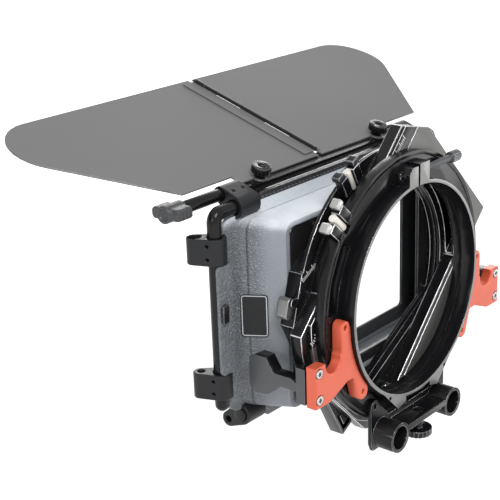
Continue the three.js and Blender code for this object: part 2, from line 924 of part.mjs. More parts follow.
// Front stage: a turning disc and a deeper frame in one piece, the tray, the lock knob, the lever
const frontGroup = stageGroup(frontStage.turn);
const frontOutline = corners(
  [-frontLeftReach, -frontLower],
  [frontRightReach - frontStage.lowerRightCut, -frontLower],
  [frontRightReach, -frontLower + frontStage.lowerRightCut],
  [frontRightReach, frontUpper - frontStage.upperRightCut],
  [frontRightReach - frontStage.upperRightCut, frontUpper],
  [-frontLeftReach + frontStage.upperLeftCut, frontUpper],
  [-frontLeftReach, frontUpper - frontStage.upperLeftCut],
);
const flatBore = (radius, flat, rear, front) => (
  alongY(circle(0, 0, radius, sides.ring), rear - overrun, front + overrun).intersect(
    block(-radius, radius, rear - overrun, front + overrun, -flat, flat),
  )
);
const trayRear = frontBodyRear + tray.floor;
const trayFront = trayRear + tray.thickness;
const trayOutline = (slack, reach) => corners(
  [-trayLeftReach - slack, -trayHalfWidth + tray.lowerLeftCut - slack],
  [-trayLeftReach + tray.lowerLeftCut - slack, -trayHalfWidth - slack],
  [reach, -trayHalfWidth - slack],
  [reach, trayHalfWidth + slack],
  [-trayLeftReach + tray.upperLeftCut - slack, trayHalfWidth + slack],
  [-trayLeftReach - slack, trayHalfWidth - tray.upperLeftCut + slack],
);
const pocketLeft = -frontLeftReach + frontStage.pocketWall;
const pocketBottom = -frontLower + frontStage.pocketWall;
const pocketFloor = frontStageRear + frontStage.pocketDepth;
const knobAcross = pocketLeft + frontStage.pocketLength / 2;
const knobRise = pocketBottom + frontStage.pocketLength / 2;

// The lever lies along the cut corner at the upper left; its own X runs along that cut
const cutMiddleAcross = -frontLeftReach + frontStage.upperLeftCut / 2;
const cutMiddleRise = frontUpper - frontStage.upperLeftCut / 2;
const leverEnd = stageLever.thickness / 2;
const leverCentre = leverEnd + gap;
function onCutCorner(solid) {
  return solid
    .translate([-stageLever.shift, 0, 0])
    .rotate([0, -45, 0])
    .translate([cutMiddleAcross, 0, cutMiddleRise]);
}
const pivotAlong = stageLever.length / 2 - leverEnd;
const leverRear = frontStageRear + stageLever.lugDepth + gap;
const leverLug = onCutCorner(union(
  alongY(circle(pivotAlong, leverCentre, leverEnd), frontStageRear, frontStageRear + stageLever.lugDepth),
  alongY(
    corners(
      [pivotAlong - leverEnd, -leverEnd],
      [pivotAlong + leverEnd, -leverEnd],
      [pivotAlong + leverEnd, leverCentre],
      [pivotAlong - leverEnd, leverCentre],
    ),
    frontStageRear,
    frontStageRear + stageLever.lugDepth,
  ),
  alongY(
    circle(pivotAlong, leverCentre, stageLever.pivotRadius, sides.small),
    frontStageRear,
    frontStageFront,
  ),
));
frontGroup.add(piece('front_stage_frame', cut(
  union(
    alongY(frontOutline, frontStageRear, frontStageFront),
    alongY(circle(0, 0, discRadius, sides.ring), frontStageRear, frontBodyRear),
    leverLug,
  ),
  flatBore(frontStage.boreRadius, frontStage.boreFlat, frontStageRear, frontStageFront),
  alongY(trayOutline(gap, frontRightReach + overrun), trayRear - gap, trayFront + gap),
  block(
    pocketLeft,
    pocketLeft + frontStage.pocketLength,
    frontStageRear - overrun,
    pocketFloor,
    pocketBottom,
    pocketBottom + frontStage.pocketLength,
  ),
  alongY(
    circle(knobAcross, knobRise, stageKnob.stemRadius + gap, sides.small),
    pocketFloor - overrun,
    pocketFloor + stageKnob.stemLength + gap,
  ),
), 'black'));
frontGroup.add(piece('stage_lock_knob', union(
  alongY(corners(
    [knobAcross - stageKnob.half, knobRise - stageKnob.half],
    [knobAcross + stageKnob.half, knobRise - stageKnob.half],
    [knobAcross + stageKnob.half, knobRise + stageKnob.half],
    [knobAcross - stageKnob.half, knobRise + stageKnob.half],
  ), frontStageRear + stageKnob.proud, pocketFloor - gap),
  alongY(
    circle(knobAcross, knobRise, stageKnob.stemRadius, sides.small),
    pocketFloor - gap,
    pocketFloor + stageKnob.stemLength,
  ),
), 'deepBlack'));
frontGroup.add(piece('stage_lever', onCutCorner(cut(
  union(
    alongY(circle(pivotAlong, leverCentre, leverEnd), leverRear, frontStageFront),
    alongY(circle(-pivotAlong, leverCentre, leverEnd), leverRear, frontStageFront),
    block(-pivotAlong, pivotAlong, leverRear, frontStageFront, gap, gap + stageLever.thickness),
  ),
  alongY(
    circle(pivotAlong, leverCentre, stageLever.pivotRadius + gap, sides.small),
    leverRear - overrun,
    frontStageFront + overrun,
  ),
)), 'satin'));
frontGroup.add(piece('front_tray', cut(
  union(
    alongY(trayOutline(0, frontRightReach), trayRear, trayFront)
      .intersect(alongY(frontOutline, trayRear, trayFront)),
    block(
      windowRadius + overrun,
      frontRightReach + tray.handleProud,
      trayRear,
      trayFront,
      -tray.handleHalf,
      tray.handleHalf,
    ),
  ),
  flatBore(windowRadius, windowHalf, trayRear, trayFront),
), 'black'));

addLatch(
  frontGroup,
  'front_catch',
  frontLatchAngle - frontStage.turn,
  discRadius - latch.bodyLength / 2,
  frontStageRear - latch.bodyDepth,
);

// Adapter plate, seated in the rear of the hood
const seat = hood.wall + gap;
const adapterHalfWidth = hoodRearHalfWidth - seat;
const adapterTop = hood.rearTop - seat;
const adapterBottom = -hood.rearBottom + seat;
const adapterOpening = roundedBox(
  -adapterHalfWidth + adapter.sideBorder,
  adapterHalfWidth - adapter.sideBorder,
  adapterBottom + adapter.bottomBorder,
  adapterTop - adapter.topBorder,
  adapter.cornerRadius,
);
const adapterHoles = [-1, 1].flatMap((way) => (
  [adapterBottom + adapter.holeInset, adapterTop - adapter.holeInset].map((rise) => (
    circle(way * (adapterHalfWidth - adapter.sideBorder), rise, adapter.holeRadius, sides.small)
  ))
));
part.add(piece('hood_adapter', alongY(
  roundedBox(-adapterHalfWidth, adapterHalfWidth, adapterBottom, adapterTop, adapter.cornerRadius),
  adapterRear,
  adapterRear + adapter.thickness,
  [adapterOpening, ...adapterHoles],
), 'black'));

// Plate under the hood that keeps stray light off the stages
part.add(piece('lower_shade', alongY(
  roundedBox(
    -shade.halfWidth,
    shade.halfWidth,
    -hood.rearBottom - gap - shade.height,
    -hood.rearBottom - gap,
    shade.cornerRadius,
  ),
  hoodRear,
  hoodRear + shade.thickness,
), 'black'));

// Clips: a barrel round the tube, a smaller one ahead of it and flat sides between the two
function clipSolid(length, frontBore, screwForward) {
  const body = wasm.Manifold.hull([
    circle(0, 0, clipBarrelRadius, sides.large),
    circle(clip.forward, clip.outward, clip.frontRadius, sides.large),
  ].map((shape) => alongX(shape, -length / 2, length / 2)));
  const farEnd = length / 2 + overrun;
  const screwTools = [-length / 4, length / 4].map((along) => alongZ(
    circle(along, screwForward, clip.screwRadius, sides.small),
    clipBarrelRadius - clip.screwDepth,
    clipBarrelRadius + clip.outward,
  ));
  return cut(
    body,
    alongX(circle(0, 0, tube.radius + gap, sides.medium), -farEnd, farEnd),
    alongX(circle(clip.forward, clip.outward, frontBore, sides.medium), -farEnd, farEnd),
    ...screwTools,
  );
}
const rodBore = flagBar.rodRadius + gap;
const topClip = clipSolid(clip.topLength, rodBore, clip.topScrewForward);
const openClip = clipSolid(clip.length, rodBore, 0);
const plainClip = clipSolid(clip.length, clip.smallBore, 0);
const notch = (length) => alongX(
  circle(0, 0, clipBarrelRadius + gap, sides.medium),
  -length / 2 - gap,
  length / 2 + gap,
);
const topCentre = topClipInner + clip.topLength / 2;
const upright = (solid) => solid.rotate([0, -90, 0]);
const inverted = (solid) => solid.mirror([0, 0, 1]);
const clipPlaces = [
  ['clip_top', topClip, notch(clip.topLength), [-topCentre, tubeAxis, tubeTop]],
  ['clip_side_upper', upright(openClip), upright(notch(clip.length)),
    [-tubeHalfWidth, tubeAxis, sideUpperRise]],
  ['clip_side_lower', upright(plainClip), upright(notch(clip.length)),
    [-tubeHalfWidth, tubeAxis, sideLowerRise]],
  ['clip_bottom', inverted(plainClip), notch(clip.length),
    [-bottomClipOuter + clip.length / 2, tubeAxis, -barDrop]],
];
const clipNotches = clipPlaces.map(([, , tool, place]) => tool.translate(place));
for (const [name, solid, , place] of clipPlaces) {
  part.add(piece(`${name}_left`, solid.translate(place), 'darkGrey'));
  part.add(piece(`${name}_right`, mirrored(solid.translate(place)), 'darkGrey'));
}

// Hood: grained sides that flare forward to a flat flange
function hoodSize(share, inset) {
  return {
    halfWidth: THREE.MathUtils.lerp(hoodRearHalfWidth, hood.frontHalfWidth, share) - inset,
    top: THREE.MathUtils.lerp(hood.rearTop, hood.frontTop, share) - inset,
    bottom: -THREE.MathUtils.lerp(hood.rearBottom, hood.frontBottom, share) + inset,
  };
}
function hoodLoop(share, inset, radius) {
  const size = hoodSize(share, inset);
  return roundedBox(-size.halfWidth, size.halfWidth, size.bottom, size.top, radius);
}
const hoodOuter = loft([
  loopAt(hoodLoop(0, 0, hood.rearCornerRadius), hoodRear),
  loopAt(hoodLoop(1, 0, hood.frontCornerRadius), hoodFlangeRear),
]);
const overrunShare = overrun / hood.grainDepth;
const flangeShare = hood.flangeDepth / hood.grainDepth;
const hoodInner = loft([
  loopAt(hoodLoop(-overrunShare, hood.wall, hood.rearCornerRadius - hood.wall), hoodRear - overrun),
  loopAt(
    hoodLoop(1 + flangeShare + overrunShare, hood.wall, hood.frontCornerRadius - hood.wall),
    hoodFront + overrun,
  ),
]);
const tubeSeat = tube.radius + gap;
const flangeHalfWidth = tubeHalfWidth - tubeSeat;
const flangeTop = tubeTop - tubeSeat;
const flangeBottom = -barDrop + tubeSeat;
const flange = alongY(roundedBox(
  -flangeHalfWidth,
  flangeHalfWidth,
  flangeBottom,
  flangeTop,
  hood.frontCornerRadius,
), hoodFlangeRear, hoodFront);

// Lips of the flange, each folded back and out behind the tube between two clips
const lipFront = tubeAxis - tubeSeat;
const lipRear = lipFront - hood.lipThickness;
const lipReach = tube.radius + hood.lipOverhang;
const lipOuter = tubeHalfWidth + lipReach;
const lipInner = flangeHalfWidth - hood.lipWall;
const lipTop = sideUpperRise - clip.length / 2 - gap;
const lipBottom = sideLowerRise + clip.length / 2 + gap;
const topLipHalfWidth = topClipInner - gap;
const bottomLipHalfWidth = bottomClipOuter - clip.length - gap;
const lip = (left, right, bottom, top) => (
  alongY(roundedBox(left, right, bottom, top, hood.lipCornerRadius), lipRear, lipFront)
);
const lips = union(
  lip(-lipOuter, -lipInner, lipBottom, lipTop),
  lip(lipInner, lipOuter, lipBottom, lipTop),
  lip(-topLipHalfWidth, topLipHalfWidth, flangeTop - hood.lipWall, tubeTop + lipReach),
  lip(-bottomLipHalfWidth, bottomLipHalfWidth, -barDrop - lipReach, flangeBottom + hood.lipWall),
  block(-flangeHalfWidth, -lipInner, lipRear, hoodFront, lipBottom, lipTop),
  block(lipInner, flangeHalfWidth, lipRear, hoodFront, lipBottom, lipTop),
  block(-topLipHalfWidth, topLipHalfWidth, lipRear, hoodFront, flangeTop - hood.lipWall, flangeTop),
  block(-bottomLipHalfWidth, bottomLipHalfWidth, lipRear, hoodFront, flangeBottom, flangeBottom + hood.lipWall),
);
part.add(piece('hood_shell', cut(
  union(hoodOuter, flange, lips),
  hoodInner,
  ...clipNotches,
  ...clipNotches.map(mirrored),
), 'hoodGrey'));

// Bare badge plate on the left side of the hood, parallel to it
const sideLean = THREE.MathUtils.radToDeg(Math.atan2(
  hood.flare,
  hood.grainDepth,
));
const badgeY = hoodFlangeRear - badge.setBack;
const badgeShare = (badgeY - hoodRear) / hood.grainDepth;
const badgeX = -THREE.MathUtils.lerp(hoodRearHalfWidth, hood.frontHalfWidth, badgeShare);
part.add(piece('badge_plate', alongX(
  roundedBox(-badge.width / 2, badge.width / 2, -badge.height / 2, badge.height / 2, badge.cornerRadius, 3),
  -gap - badge.thickness,
  -gap,
).rotate([0, 0, sideLean]).translate([badgeX, badgeY, badge.centreRise]), 'deepBlack'));

// Small latch on the rear of the left lip
const latchLeft = -lipOuter + gap * 2;
part.add(piece('hood_latch', block(
  latchLeft,
  latchLeft + hoodLatch.width,
  lipRear - gap - hoodLatch.thickness,
  lipRear - gap,
  hoodLatch.centreRise - hoodLatch.height / 2,
  hoodLatch.centreRise + hoodLatch.height / 2,
), 'black'));

// Mask inside the front of the hood
const maskRear = hoodFront - mask.setBack;
const maskShare = (maskRear - hoodRear) / hood.grainDepth;
const maskSize = hoodSize(maskShare, hood.wall + gap);
part.add(piece('front_mask', alongY(
  hoodLoop(maskShare, hood.wall + gap, hood.frontCornerRadius - hood.wall),
  maskRear,
  maskRear + mask.thickness,
  [roundedBox(
    -maskSize.halfWidth + mask.sideBorder,
    maskSize.halfWidth - mask.sideBorder,
    maskSize.bottom + mask.bottomBorder,
    maskSize.top - mask.topBorder,
    mask.cornerRadius,
  )],
), 'deepBlack'));

// A round section swept along an open path in X and Z; each place on the path has its own radius
function sweep(path, count) {
  const points = [];
  const index = [];
  path.forEach(({ point, radius }, i) => {
    const before = path[Math.max(i - 1, 0)].point;
    const after = path[Math.min(i + 1, path.length - 1)].point;
    const along = new THREE.Vector2().subVectors(after, before).normalize();
    for (let k = 0; k < count; k++) {
      const angle = (k / count) * Math.PI * 2;
      const out = radius * Math.cos(angle);
      points.push(new THREE.Vector3(
        point.x + along.y * out,
        tubeAxis + radius * Math.sin(angle),
        point.y - along.x * out,
      ));
    }
  });
  for (let i = 0; i + 1 < path.length; i++) {
    for (let k = 0; k < count; k++) {
      const turned = (k + 1) % count;
      const a = i * count + k;
      const b = i * count + turned;
      const c = (i + 1) * count + k;
      const d = (i + 1) * count + turned;
      index.push(a, b, c, b, d, c);
    }
  }
  const last = (path.length - 1) * count;
  for (let k = 1; k + 1 < count; k++) {
    index.push(0, k + 1, k);
    index.push(last, last + k, last + k + 1);
  }
  return new wasm.Manifold(new wasm.Mesh({
    numProp: 3,
    vertProperties: new Float32Array(points.flatMap((point) => point.toArray())),
    triVerts: new Uint32Array(index),
  }));
}

// Tube up one side of the hood, over its top and down the other side, with domed ends
const legEnd = -barDrop + tube.legShortfall;
const domeAngles = [75, 60, 45, 30, 15, 0];
const leg = (across) => domeAngles.map((angle) => ({
  point: new THREE.Vector2(across, legEnd - tube.radius * Math.sin(radians(angle))),
  radius: tube.radius * Math.cos(radians(angle)),
}));
const bendAt = (across, from) => (
  arc(across, tubeTop - tube.bendRadius, tube.bendRadius, from, from + quarterTurn, sides.small)
    .map((point) => ({ point, radius: tube.radius }))
);
part.add(piece('tube_frame', sweep([
  ...leg(tubeHalfWidth),
  ...bendAt(tubeHalfWidth - tube.bendRadius, 0),
  ...bendAt(-tubeHalfWidth + tube.bendRadius, quarterTurn),
  ...leg(-tubeHalfWidth).reverse(),
], sides.medium), 'black'));

// Bar below the hood, held by the two bottom clips
const barReach = bottomClipOuter + tube.barOverhang;
part.add(piece('bottom_bar', alongX(
  circle(tubeAxis, -barDrop, tube.radius, sides.medium),
  -barReach,
  barReach,
), 'black'));

// Flag group: origin on the rod axis, Y along the slope, Z square to the sheet
const flagGroup = new THREE.Group();
flagGroup.position.set(0, rodAxisForward, rodAxisRise);
flagGroup.rotation.x = radians(flag.tilt);
part.add(flagGroup);

const bar = union(
  alongX(circle(0, 0, flagBar.rodRadius, sides.medium), -rodLeftReach, rodRightReach),
  block(
    -flagBarReach,
    flagBarReach,
    -flagBar.halfWidth,
    flagBar.halfWidth,
    -flagBar.underside,
    flagBar.topRise,
  ),
  alongX(
    circle(0, 0, flagBar.pinRadius, sides.small),
    -rodLeftReach - flagBar.pinLength,
    -rodLeftReach + overrun,
  ),
);
const sheetTop = flag.sheetRise + flag.sheetThickness;
flagGroup.add(piece('flag_bar', cut(
  bar,
  // the rod is cut away above the flat top of the bar
  block(
    -flagBarReach,
    flagBarReach,
    -flagBar.rodRadius - overrun,
    flagBar.rodRadius + overrun,
    flagBar.topRise,
    flagBar.rodRadius + overrun,
  ),
  ...[-thumbScrewAcross, thumbScrewAcross].map((across) => alongZ(
    circle(across, 0, thumbScrew.shaftRadius + gap, sides.small),
    flagBar.topRise - thumbScrew.shaftBite - gap,
    flagBar.rodRadius + overrun,
  )),
), 'black'));

// Wing knob on the left end of the rod: a hub and two ridged lobes
const knobRight = -rodLeftReach - gap;
const knobLeft = knobRight - wingKnob.length;
const lobeRight = knobRight - wingKnob.lobeInset;
const lobeRun = wingKnob.length - wingKnob.lobeInset * 2;
const grooveStep = lobeRun / wingKnob.grooves;
const lobe = alongX(
  roundedBox(
    -wingKnob.lobeReach,
    wingKnob.lobeReach,
    -wingKnob.lobeThickness / 2,
    wingKnob.lobeThickness / 2,
    wingKnob.lobeThickness / 3,
  ),
  lobeRight - lobeRun,
  lobeRight,
);
const grooveTools = Array.from({ length: wingKnob.grooves }, (_, i) => {
  const from = lobeRight - (i + 1) * grooveStep + grooveStep / 4;
  return cut(
    block(
      from,
      from + grooveStep / 2,
      -wingKnob.lobeReach - overrun,
      wingKnob.lobeReach + overrun,
      -wingKnob.lobeThickness,
      wingKnob.lobeThickness,
    ),
    block(
      from - overrun,
      from + grooveStep,
      -wingKnob.lobeReach + wingKnob.grooveDepth,
      wingKnob.lobeReach - wingKnob.grooveDepth,
      -wingKnob.lobeThickness - overrun,
      wingKnob.lobeThickness + overrun,
    ),
  );
});
flagGroup.add(piece('wing_knob', cut(
  union(
    alongX(circle(0, 0, wingKnob.hubRadius, sides.medium), knobLeft, knobRight),
    lobe,
  ),
  ...grooveTools,
  alongX(
    circle(0, 0, flagBar.pinRadius + gap, sides.small),
    -rodLeftReach - flagBar.pinLength - gap,
    knobRight + overrun,
  ),
  alongX(
    circle(0, 0, wingKnob.recessRadius, sides.medium),
    knobLeft - overrun,
    knobLeft + wingKnob.recessDepth,
  ),
).rotate([wingKnob.restTurn, 0, 0]), 'black'));

for (const [side, way] of [['left', -1], ['right', 1]]) {
  const screwBottom = flagBar.topRise - thumbScrew.shaftBite;
  const collarBottom = sheetTop + gap;
  const headBottom = collarBottom + thumbScrew.collarHeight;
  const headTop = headBottom + thumbScrew.headHeight;
  const screw = union(
    alongZ(circle(0, 0, thumbScrew.shaftRadius, sides.small), screwBottom, headBottom),
    alongZ(circle(0, 0, thumbScrew.collarRadius, sides.medium), collarBottom, headBottom),
    alongZ(ridged(thumbScrew.headRadius, thumbScrew.ridgeDepth, thumbScrew.ridges), headBottom, headTop),
  ).subtract(alongZ(
    circle(0, 0, thumbScrew.recessRadius, sides.medium),
    headTop - thumbScrew.recessDepth,
    headTop + overrun,
  ));
  flagGroup.add(piece(`thumb_screw_${side}`, screw.translate([way * thumbScrewAcross, 0, 0]), 'black'));
}

// Each flag leaf, drawn for the right side and mirrored for the left. Its side is a straight line
// from the near corner that runs tangent into the round end.
const tongueHalf = flagBarReach - gap;
const endCentreAt = flag.farEdge - flag.endRadius;
const sideRun = Math.hypot(flagEndAcross - flagNearHalfWidth, endCentreAt - flag.shoulder);
const sideTurn = Math.atan2(endCentreAt - flag.shoulder, flagEndAcross - flagNearHalfWidth)
  - Math.asin(flag.endRadius / sideRun);
const endStart = THREE.MathUtils.radToDeg(sideTurn) - quarterTurn;
const leafOutline = [
  ...corners(
    [flag.hingeGap, flag.rearEdge],
    [tongueHalf, flag.rearEdge],
    [tongueHalf, flag.shoulder],
    [flagNearHalfWidth, flag.shoulder],
  ),
  ...arc(flagEndAcross, endCentreAt, flag.endRadius, endStart, quarterTurn, sides.bend * 3),
  ...corners([flag.hingeGap, flag.farEdge]),
];
const leaf = union(
  alongZ(leafOutline, flag.sheetRise, sheetTop),
  alongZ(circle(thumbScrewAcross, 0, flag.screwLand, sides.medium), flag.sheetRise, sheetTop),
).subtract(alongZ(
  circle(thumbScrewAcross, 0, thumbScrew.shaftRadius + gap, sides.small),
  flag.sheetRise - overrun,
  sheetTop + overrun,
));
flagGroup.add(piece('flag_right', leaf, 'flagGrey'));
flagGroup.add(piece('flag_left', mirrored(leaf), 'flagGrey'));

// Hinge between the leaves: strips on top of the sheet, knuckles round one pin
const hingeRise = sheetTop + gap + flagHinge.knuckleRadius;
const hingeFrom = flag.rearEdge + flagHinge.margin;
const hingeTo = flag.farEdge - flagHinge.margin;
const knuckleRun = (hingeTo - hingeFrom) / flagHinge.knuckles;
const alongSlope = (across, rise, radius, from, to) => (
  alongY(circle(across, rise, radius, sides.small), from, to)
);
function hingeLeaf(way) {
  const first = way < 0 ? 0 : 1;
  const stripWidth = way < 0 ? flagHinge.leftStripWidth : flagHinge.rightStripWidth;
  const strip = block(
    flagHinge.knuckleRadius + gap,
    stripWidth,
    hingeFrom,
    hingeTo,
    sheetTop + gap,
    sheetTop + gap + flagHinge.stripThickness,
  );
  let solid = way < 0 ? mirrored(strip) : strip;
  for (let i = first; i < flagHinge.knuckles; i += 2) {
    const from = hingeFrom + i * knuckleRun + gap / 2;
    const to = hingeFrom + (i + 1) * knuckleRun - gap / 2;
    solid = union(
      solid,
      alongSlope(0, hingeRise, flagHinge.knuckleRadius, from, to),
      block(
        Math.min(0, way * stripWidth / 2),
        Math.max(0, way * stripWidth / 2),
        from,
        to,
        sheetTop + gap,
        sheetTop + gap + flagHinge.stripThickness,
      ),
    );
  }
  return solid.subtract(alongSlope(
    0,
    hingeRise,
    flagHinge.pinRadius + gap / 2,
    hingeFrom - overrun,
    hingeTo + overrun,
  ));
}
flagGroup.add(piece('flag_hinge_left', hingeLeaf(-1), 'flagGrey'));
flagGroup.add(piece('flag_hinge_right', hingeLeaf(1), 'flagGrey'));
flagGroup.add(piece(
  'flag_hinge_pin',
  alongSlope(0, hingeRise, flagHinge.pinRadius, hingeFrom, hingeTo),
  'steel',
));

export default part;
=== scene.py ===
import json
import math

import bmesh
import bpy
from mathutils import Matrix, Vector

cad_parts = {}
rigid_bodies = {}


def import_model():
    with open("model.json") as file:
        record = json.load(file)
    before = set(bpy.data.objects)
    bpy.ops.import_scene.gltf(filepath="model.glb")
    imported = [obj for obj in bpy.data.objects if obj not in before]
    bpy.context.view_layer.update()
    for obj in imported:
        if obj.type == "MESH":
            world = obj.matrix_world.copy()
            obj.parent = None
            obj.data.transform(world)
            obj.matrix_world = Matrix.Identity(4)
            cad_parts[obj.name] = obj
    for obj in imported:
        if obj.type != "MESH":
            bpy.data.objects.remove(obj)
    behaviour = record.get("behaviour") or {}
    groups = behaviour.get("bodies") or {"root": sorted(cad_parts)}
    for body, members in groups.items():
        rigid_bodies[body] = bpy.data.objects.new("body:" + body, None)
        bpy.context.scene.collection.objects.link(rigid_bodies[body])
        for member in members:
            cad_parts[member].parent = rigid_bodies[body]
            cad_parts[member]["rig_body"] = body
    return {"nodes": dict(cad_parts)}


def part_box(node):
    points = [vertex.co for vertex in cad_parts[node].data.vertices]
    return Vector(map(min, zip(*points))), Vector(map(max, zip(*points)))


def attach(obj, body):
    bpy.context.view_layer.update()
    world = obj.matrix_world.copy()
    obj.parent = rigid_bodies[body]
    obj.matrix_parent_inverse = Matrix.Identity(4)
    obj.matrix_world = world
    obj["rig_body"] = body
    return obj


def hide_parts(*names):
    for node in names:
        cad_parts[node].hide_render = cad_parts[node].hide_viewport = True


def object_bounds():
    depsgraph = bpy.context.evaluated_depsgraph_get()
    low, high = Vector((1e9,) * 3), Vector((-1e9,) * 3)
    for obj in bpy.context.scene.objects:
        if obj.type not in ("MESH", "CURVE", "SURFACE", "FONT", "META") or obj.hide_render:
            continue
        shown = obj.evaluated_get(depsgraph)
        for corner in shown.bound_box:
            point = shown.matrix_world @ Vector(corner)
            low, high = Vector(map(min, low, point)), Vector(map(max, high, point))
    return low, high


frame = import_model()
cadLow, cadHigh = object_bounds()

mm = 0.001
print("frame loaded", len(frame["nodes"]), "nodes")


# Camera at the photograph's viewing angle, its place in millimetres
camera = {
    "place": (-592.911, -376.752, 272.636),
    "right": (0.642096, -0.765828, -0.034917),
    "up": (0.274825, 0.187425, 0.943050),
    "lens": 89.435,
    "sensor": 36.0,
    "clipStart": 0.01,
}


def addCamera():
    right, up = Vector(camera["right"]), Vector(camera["up"])
    back = right.cross(up)
    turn = Matrix((right, up, back)).transposed().to_4x4()
    data = bpy.data.cameras.new("photoCamera")
    data.lens = camera["lens"]
    data.sensor_width = camera["sensor"]
    data.clip_start = camera["clipStart"]
    eye = bpy.data.objects.new("photoCamera", data)
    eye.matrix_world = Matrix.Translation(Vector(camera["place"]) * mm) @ turn
    bpy.context.scene.collection.objects.link(eye)
    bpy.context.scene.camera = eye


class Wire:  # a socket that can be used in a sum
    def __init__(self, owner, socket):
        self.owner = owner
        self.socket = socket

    def math(self, operation, first, second):
        return self.owner.node("ShaderNodeMath", {"operation": operation}, {0: first, 1: second})

    def __add__(self, other):
        return self.math("ADD", self, other)

    __radd__ = __add__

    def __mul__(self, other):
        return self.math("MULTIPLY", self, other)

    __rmul__ = __mul__

    def __sub__(self, other):
        return self.math("SUBTRACT", self, other)

    def __rsub__(self, other):
        return self.math("SUBTRACT", other, self)


class NodeTree:  # one tree of nodes and the means to add to it
    def __init__(self, tree):
        self.tree = tree

    def node(self, kind, settings, values, out=0):
        node = self.tree.nodes.new(kind)
        for key, value in settings.items():
            setattr(node, key, value)
        for key, value in values.items():
            self.feed(node.inputs[key], value)
        return Wire(self, node.outputs[out]) if node.outputs else None

    def feed(self, slot, value):
        if isinstance(value, Wire):
            self.tree.links.new(value.socket, slot)
        elif slot.type == "RGBA" and len(value) == 3:
            slot.default_value = (*value, 1.0)
        else:
            slot.default_value = value

    def seen(self):  # 1 for what the camera, a glossy surface or glass sees
        rays = [
            self.node("ShaderNodeLightPath", {}, {}, f"Is {kind} Ray")
            for kind in ("Camera", "Glossy", "Transmission")
        ]
        either = rays[0].math("MAXIMUM", rays[0], rays[1])
        return either.math("MAXIMUM", either, rays[2])


class Finish(NodeTree):  # one material
    sockets = {
        "colour": "Base Color", "rough": "Roughness", "metal": "Metallic", "normal": "Normal",
        "coat": "Coat Weight", "coatRough": "Coat Roughness", "level": "Specular IOR Level",
        "glow": "Emission Color", "glowStrength": "Emission Strength",
    }

    def __init__(self, name):
        self.material = bpy.data.materials.new(name)
        self.material.use_nodes = True
        super().__init__(self.material.node_tree)
        self.shader = self.tree.nodes["Principled BSDF"]
        self.spot = self.node("ShaderNodeTexCoord", {}, {}, "Object")

    def set(self, **values):
        for key, value in values.items():
            self.feed(self.shader.inputs[self.sockets[key]], value)

    def noise(self, scale, detail=2.0, rough=0.5, spot=None, out=0):
        return self.node("ShaderNodeTexNoise", {}, {
            "Vector": spot or self.spot, "Scale": scale, "Detail": detail, "Roughness": rough,
        }, out)

    def cells(self, feature, scale, spot=None):
        return self.node("ShaderNodeTexVoronoi", {"feature": feature}, {
            "Vector": spot or self.spot, "Scale": scale,
        })

    def blend(self, share, first, second):
        return self.node("ShaderNodeMix", {"data_type": "RGBA"}, {0: share, 6: first, 7: second}, 2)

    def limit(self, value, low, high):  # 0 below low, 1 above high
        return self.node("ShaderNodeMapRange", {"interpolation_type": "SMOOTHSTEP"}, {
            "Value": value, "From Min": low, "From Max": high,
        })

    def stretched(self, scale, turn=(0.0, 0.0, 0.0), spot=None):
        return self.node("ShaderNodeMapping", {}, {
            "Vector": spot or self.spot, "Scale": scale, "Rotation": turn,
        })

    def bump(self, height, depth):
        return self.node("ShaderNodeBump", {}, {"Height": height, "Distance": depth, "Strength": 1.0})


def toned(colour, share):
    return tuple(part * share for part in colour)


# Black anodised aluminium with faint scuffs. A noise is given by its scale, its detail and, where it
# isn't the usual half, its roughness
anodised = {
    "cloud": (38.0, 4.0, 0.6),
    "lift": 1.7,
    "roughSpread": 0.16,
    "blast": (2600.0, 1.0),
    "scuff": (1.0, 4.0, 0.7),
    "scuffStretch": (160.0, 900.0, 160.0),
    "scuffTurn": (0.4, 0.2, 0.7),
    "scuffFrom": 0.62,
    "scuffTo": 0.78,
    "scuffRough": 0.15,
}
blacks = {
    "blackAnodised": {"colour": (0.0045, 0.0045, 0.0052), "rough": 0.14, "level": 0.22, "depth": 0.000025},
    "deepBlack": {"colour": (0.014, 0.0145, 0.015), "rough": 0.5, "level": 0.2, "depth": 0.00006},
    "castBlack": {"colour": (0.007, 0.007, 0.0075), "rough": 0.24, "level": 0.22, "depth": 0.00005},
}


def anodisedFace(name):
    face = blacks[name]
    look = Finish(name)
    cloud = look.noise(*anodised["cloud"])
    blast = look.noise(*anodised["blast"])
    streaks = look.stretched(anodised["scuffStretch"], anodised["scuffTurn"])
    scuff = look.noise(*anodised["scuff"], streaks)
    marks = look.limit(scuff, anodised["scuffFrom"], anodised["scuffTo"])
    look.set(
        colour=look.blend(cloud, face["colour"], toned(face["colour"], anodised["lift"])),
        rough=cloud * anodised["roughSpread"] + marks * anodised["scuffRough"] + face["rough"],
        level=face["level"],
        normal=look.bump(blast, face["depth"]),
    )
    return look.material


# Bare machined edges with duller patches
machined = {
    "wear": (420.0, 3.0, 0.7),
    "wearSpread": 0.2,
    "patch": (60.0, 3.0),
    "patchFrom": 0.3,
    "patchTo": 0.55,
    "dulled": 0.35,
    "rough": 0.16,
    "metal": 0.9,
    "bright": (0.72, 0.72, 0.74),
    "dull": (0.22, 0.22, 0.23),
}


def machinedEdge(name, colour):
    look = Finish(name)
    wear = look.noise(*machined["wear"])
    patch = look.limit(look.noise(*machined["patch"]), machined["patchFrom"], machined["patchTo"])
    look.set(
        colour=look.blend(patch, toned(colour, machined["dulled"]), colour),
        rough=wear * machined["wearSpread"] + machined["rough"],
        metal=machined["metal"],
    )
    return look.material


# Rear faces of the clamp ring: painted light, a pale grey with a fine grit that stands in for a lamp
# lighting the faces that look rearwards
litRear = {
    "colour": (0.21, 0.21, 0.205),
    "deep": 0.8,
    "cloud": (32.0, 4.0, 0.6),
    "cloudShare": 0.6,
    "grit": (1500.0, 2.0, 0.6),
    "gritShare": 0.4,
    "gritDepth": 0.00005,
    "roughSpread": 0.12,
    "rough": 0.34,
    "metal": 0.8,
}


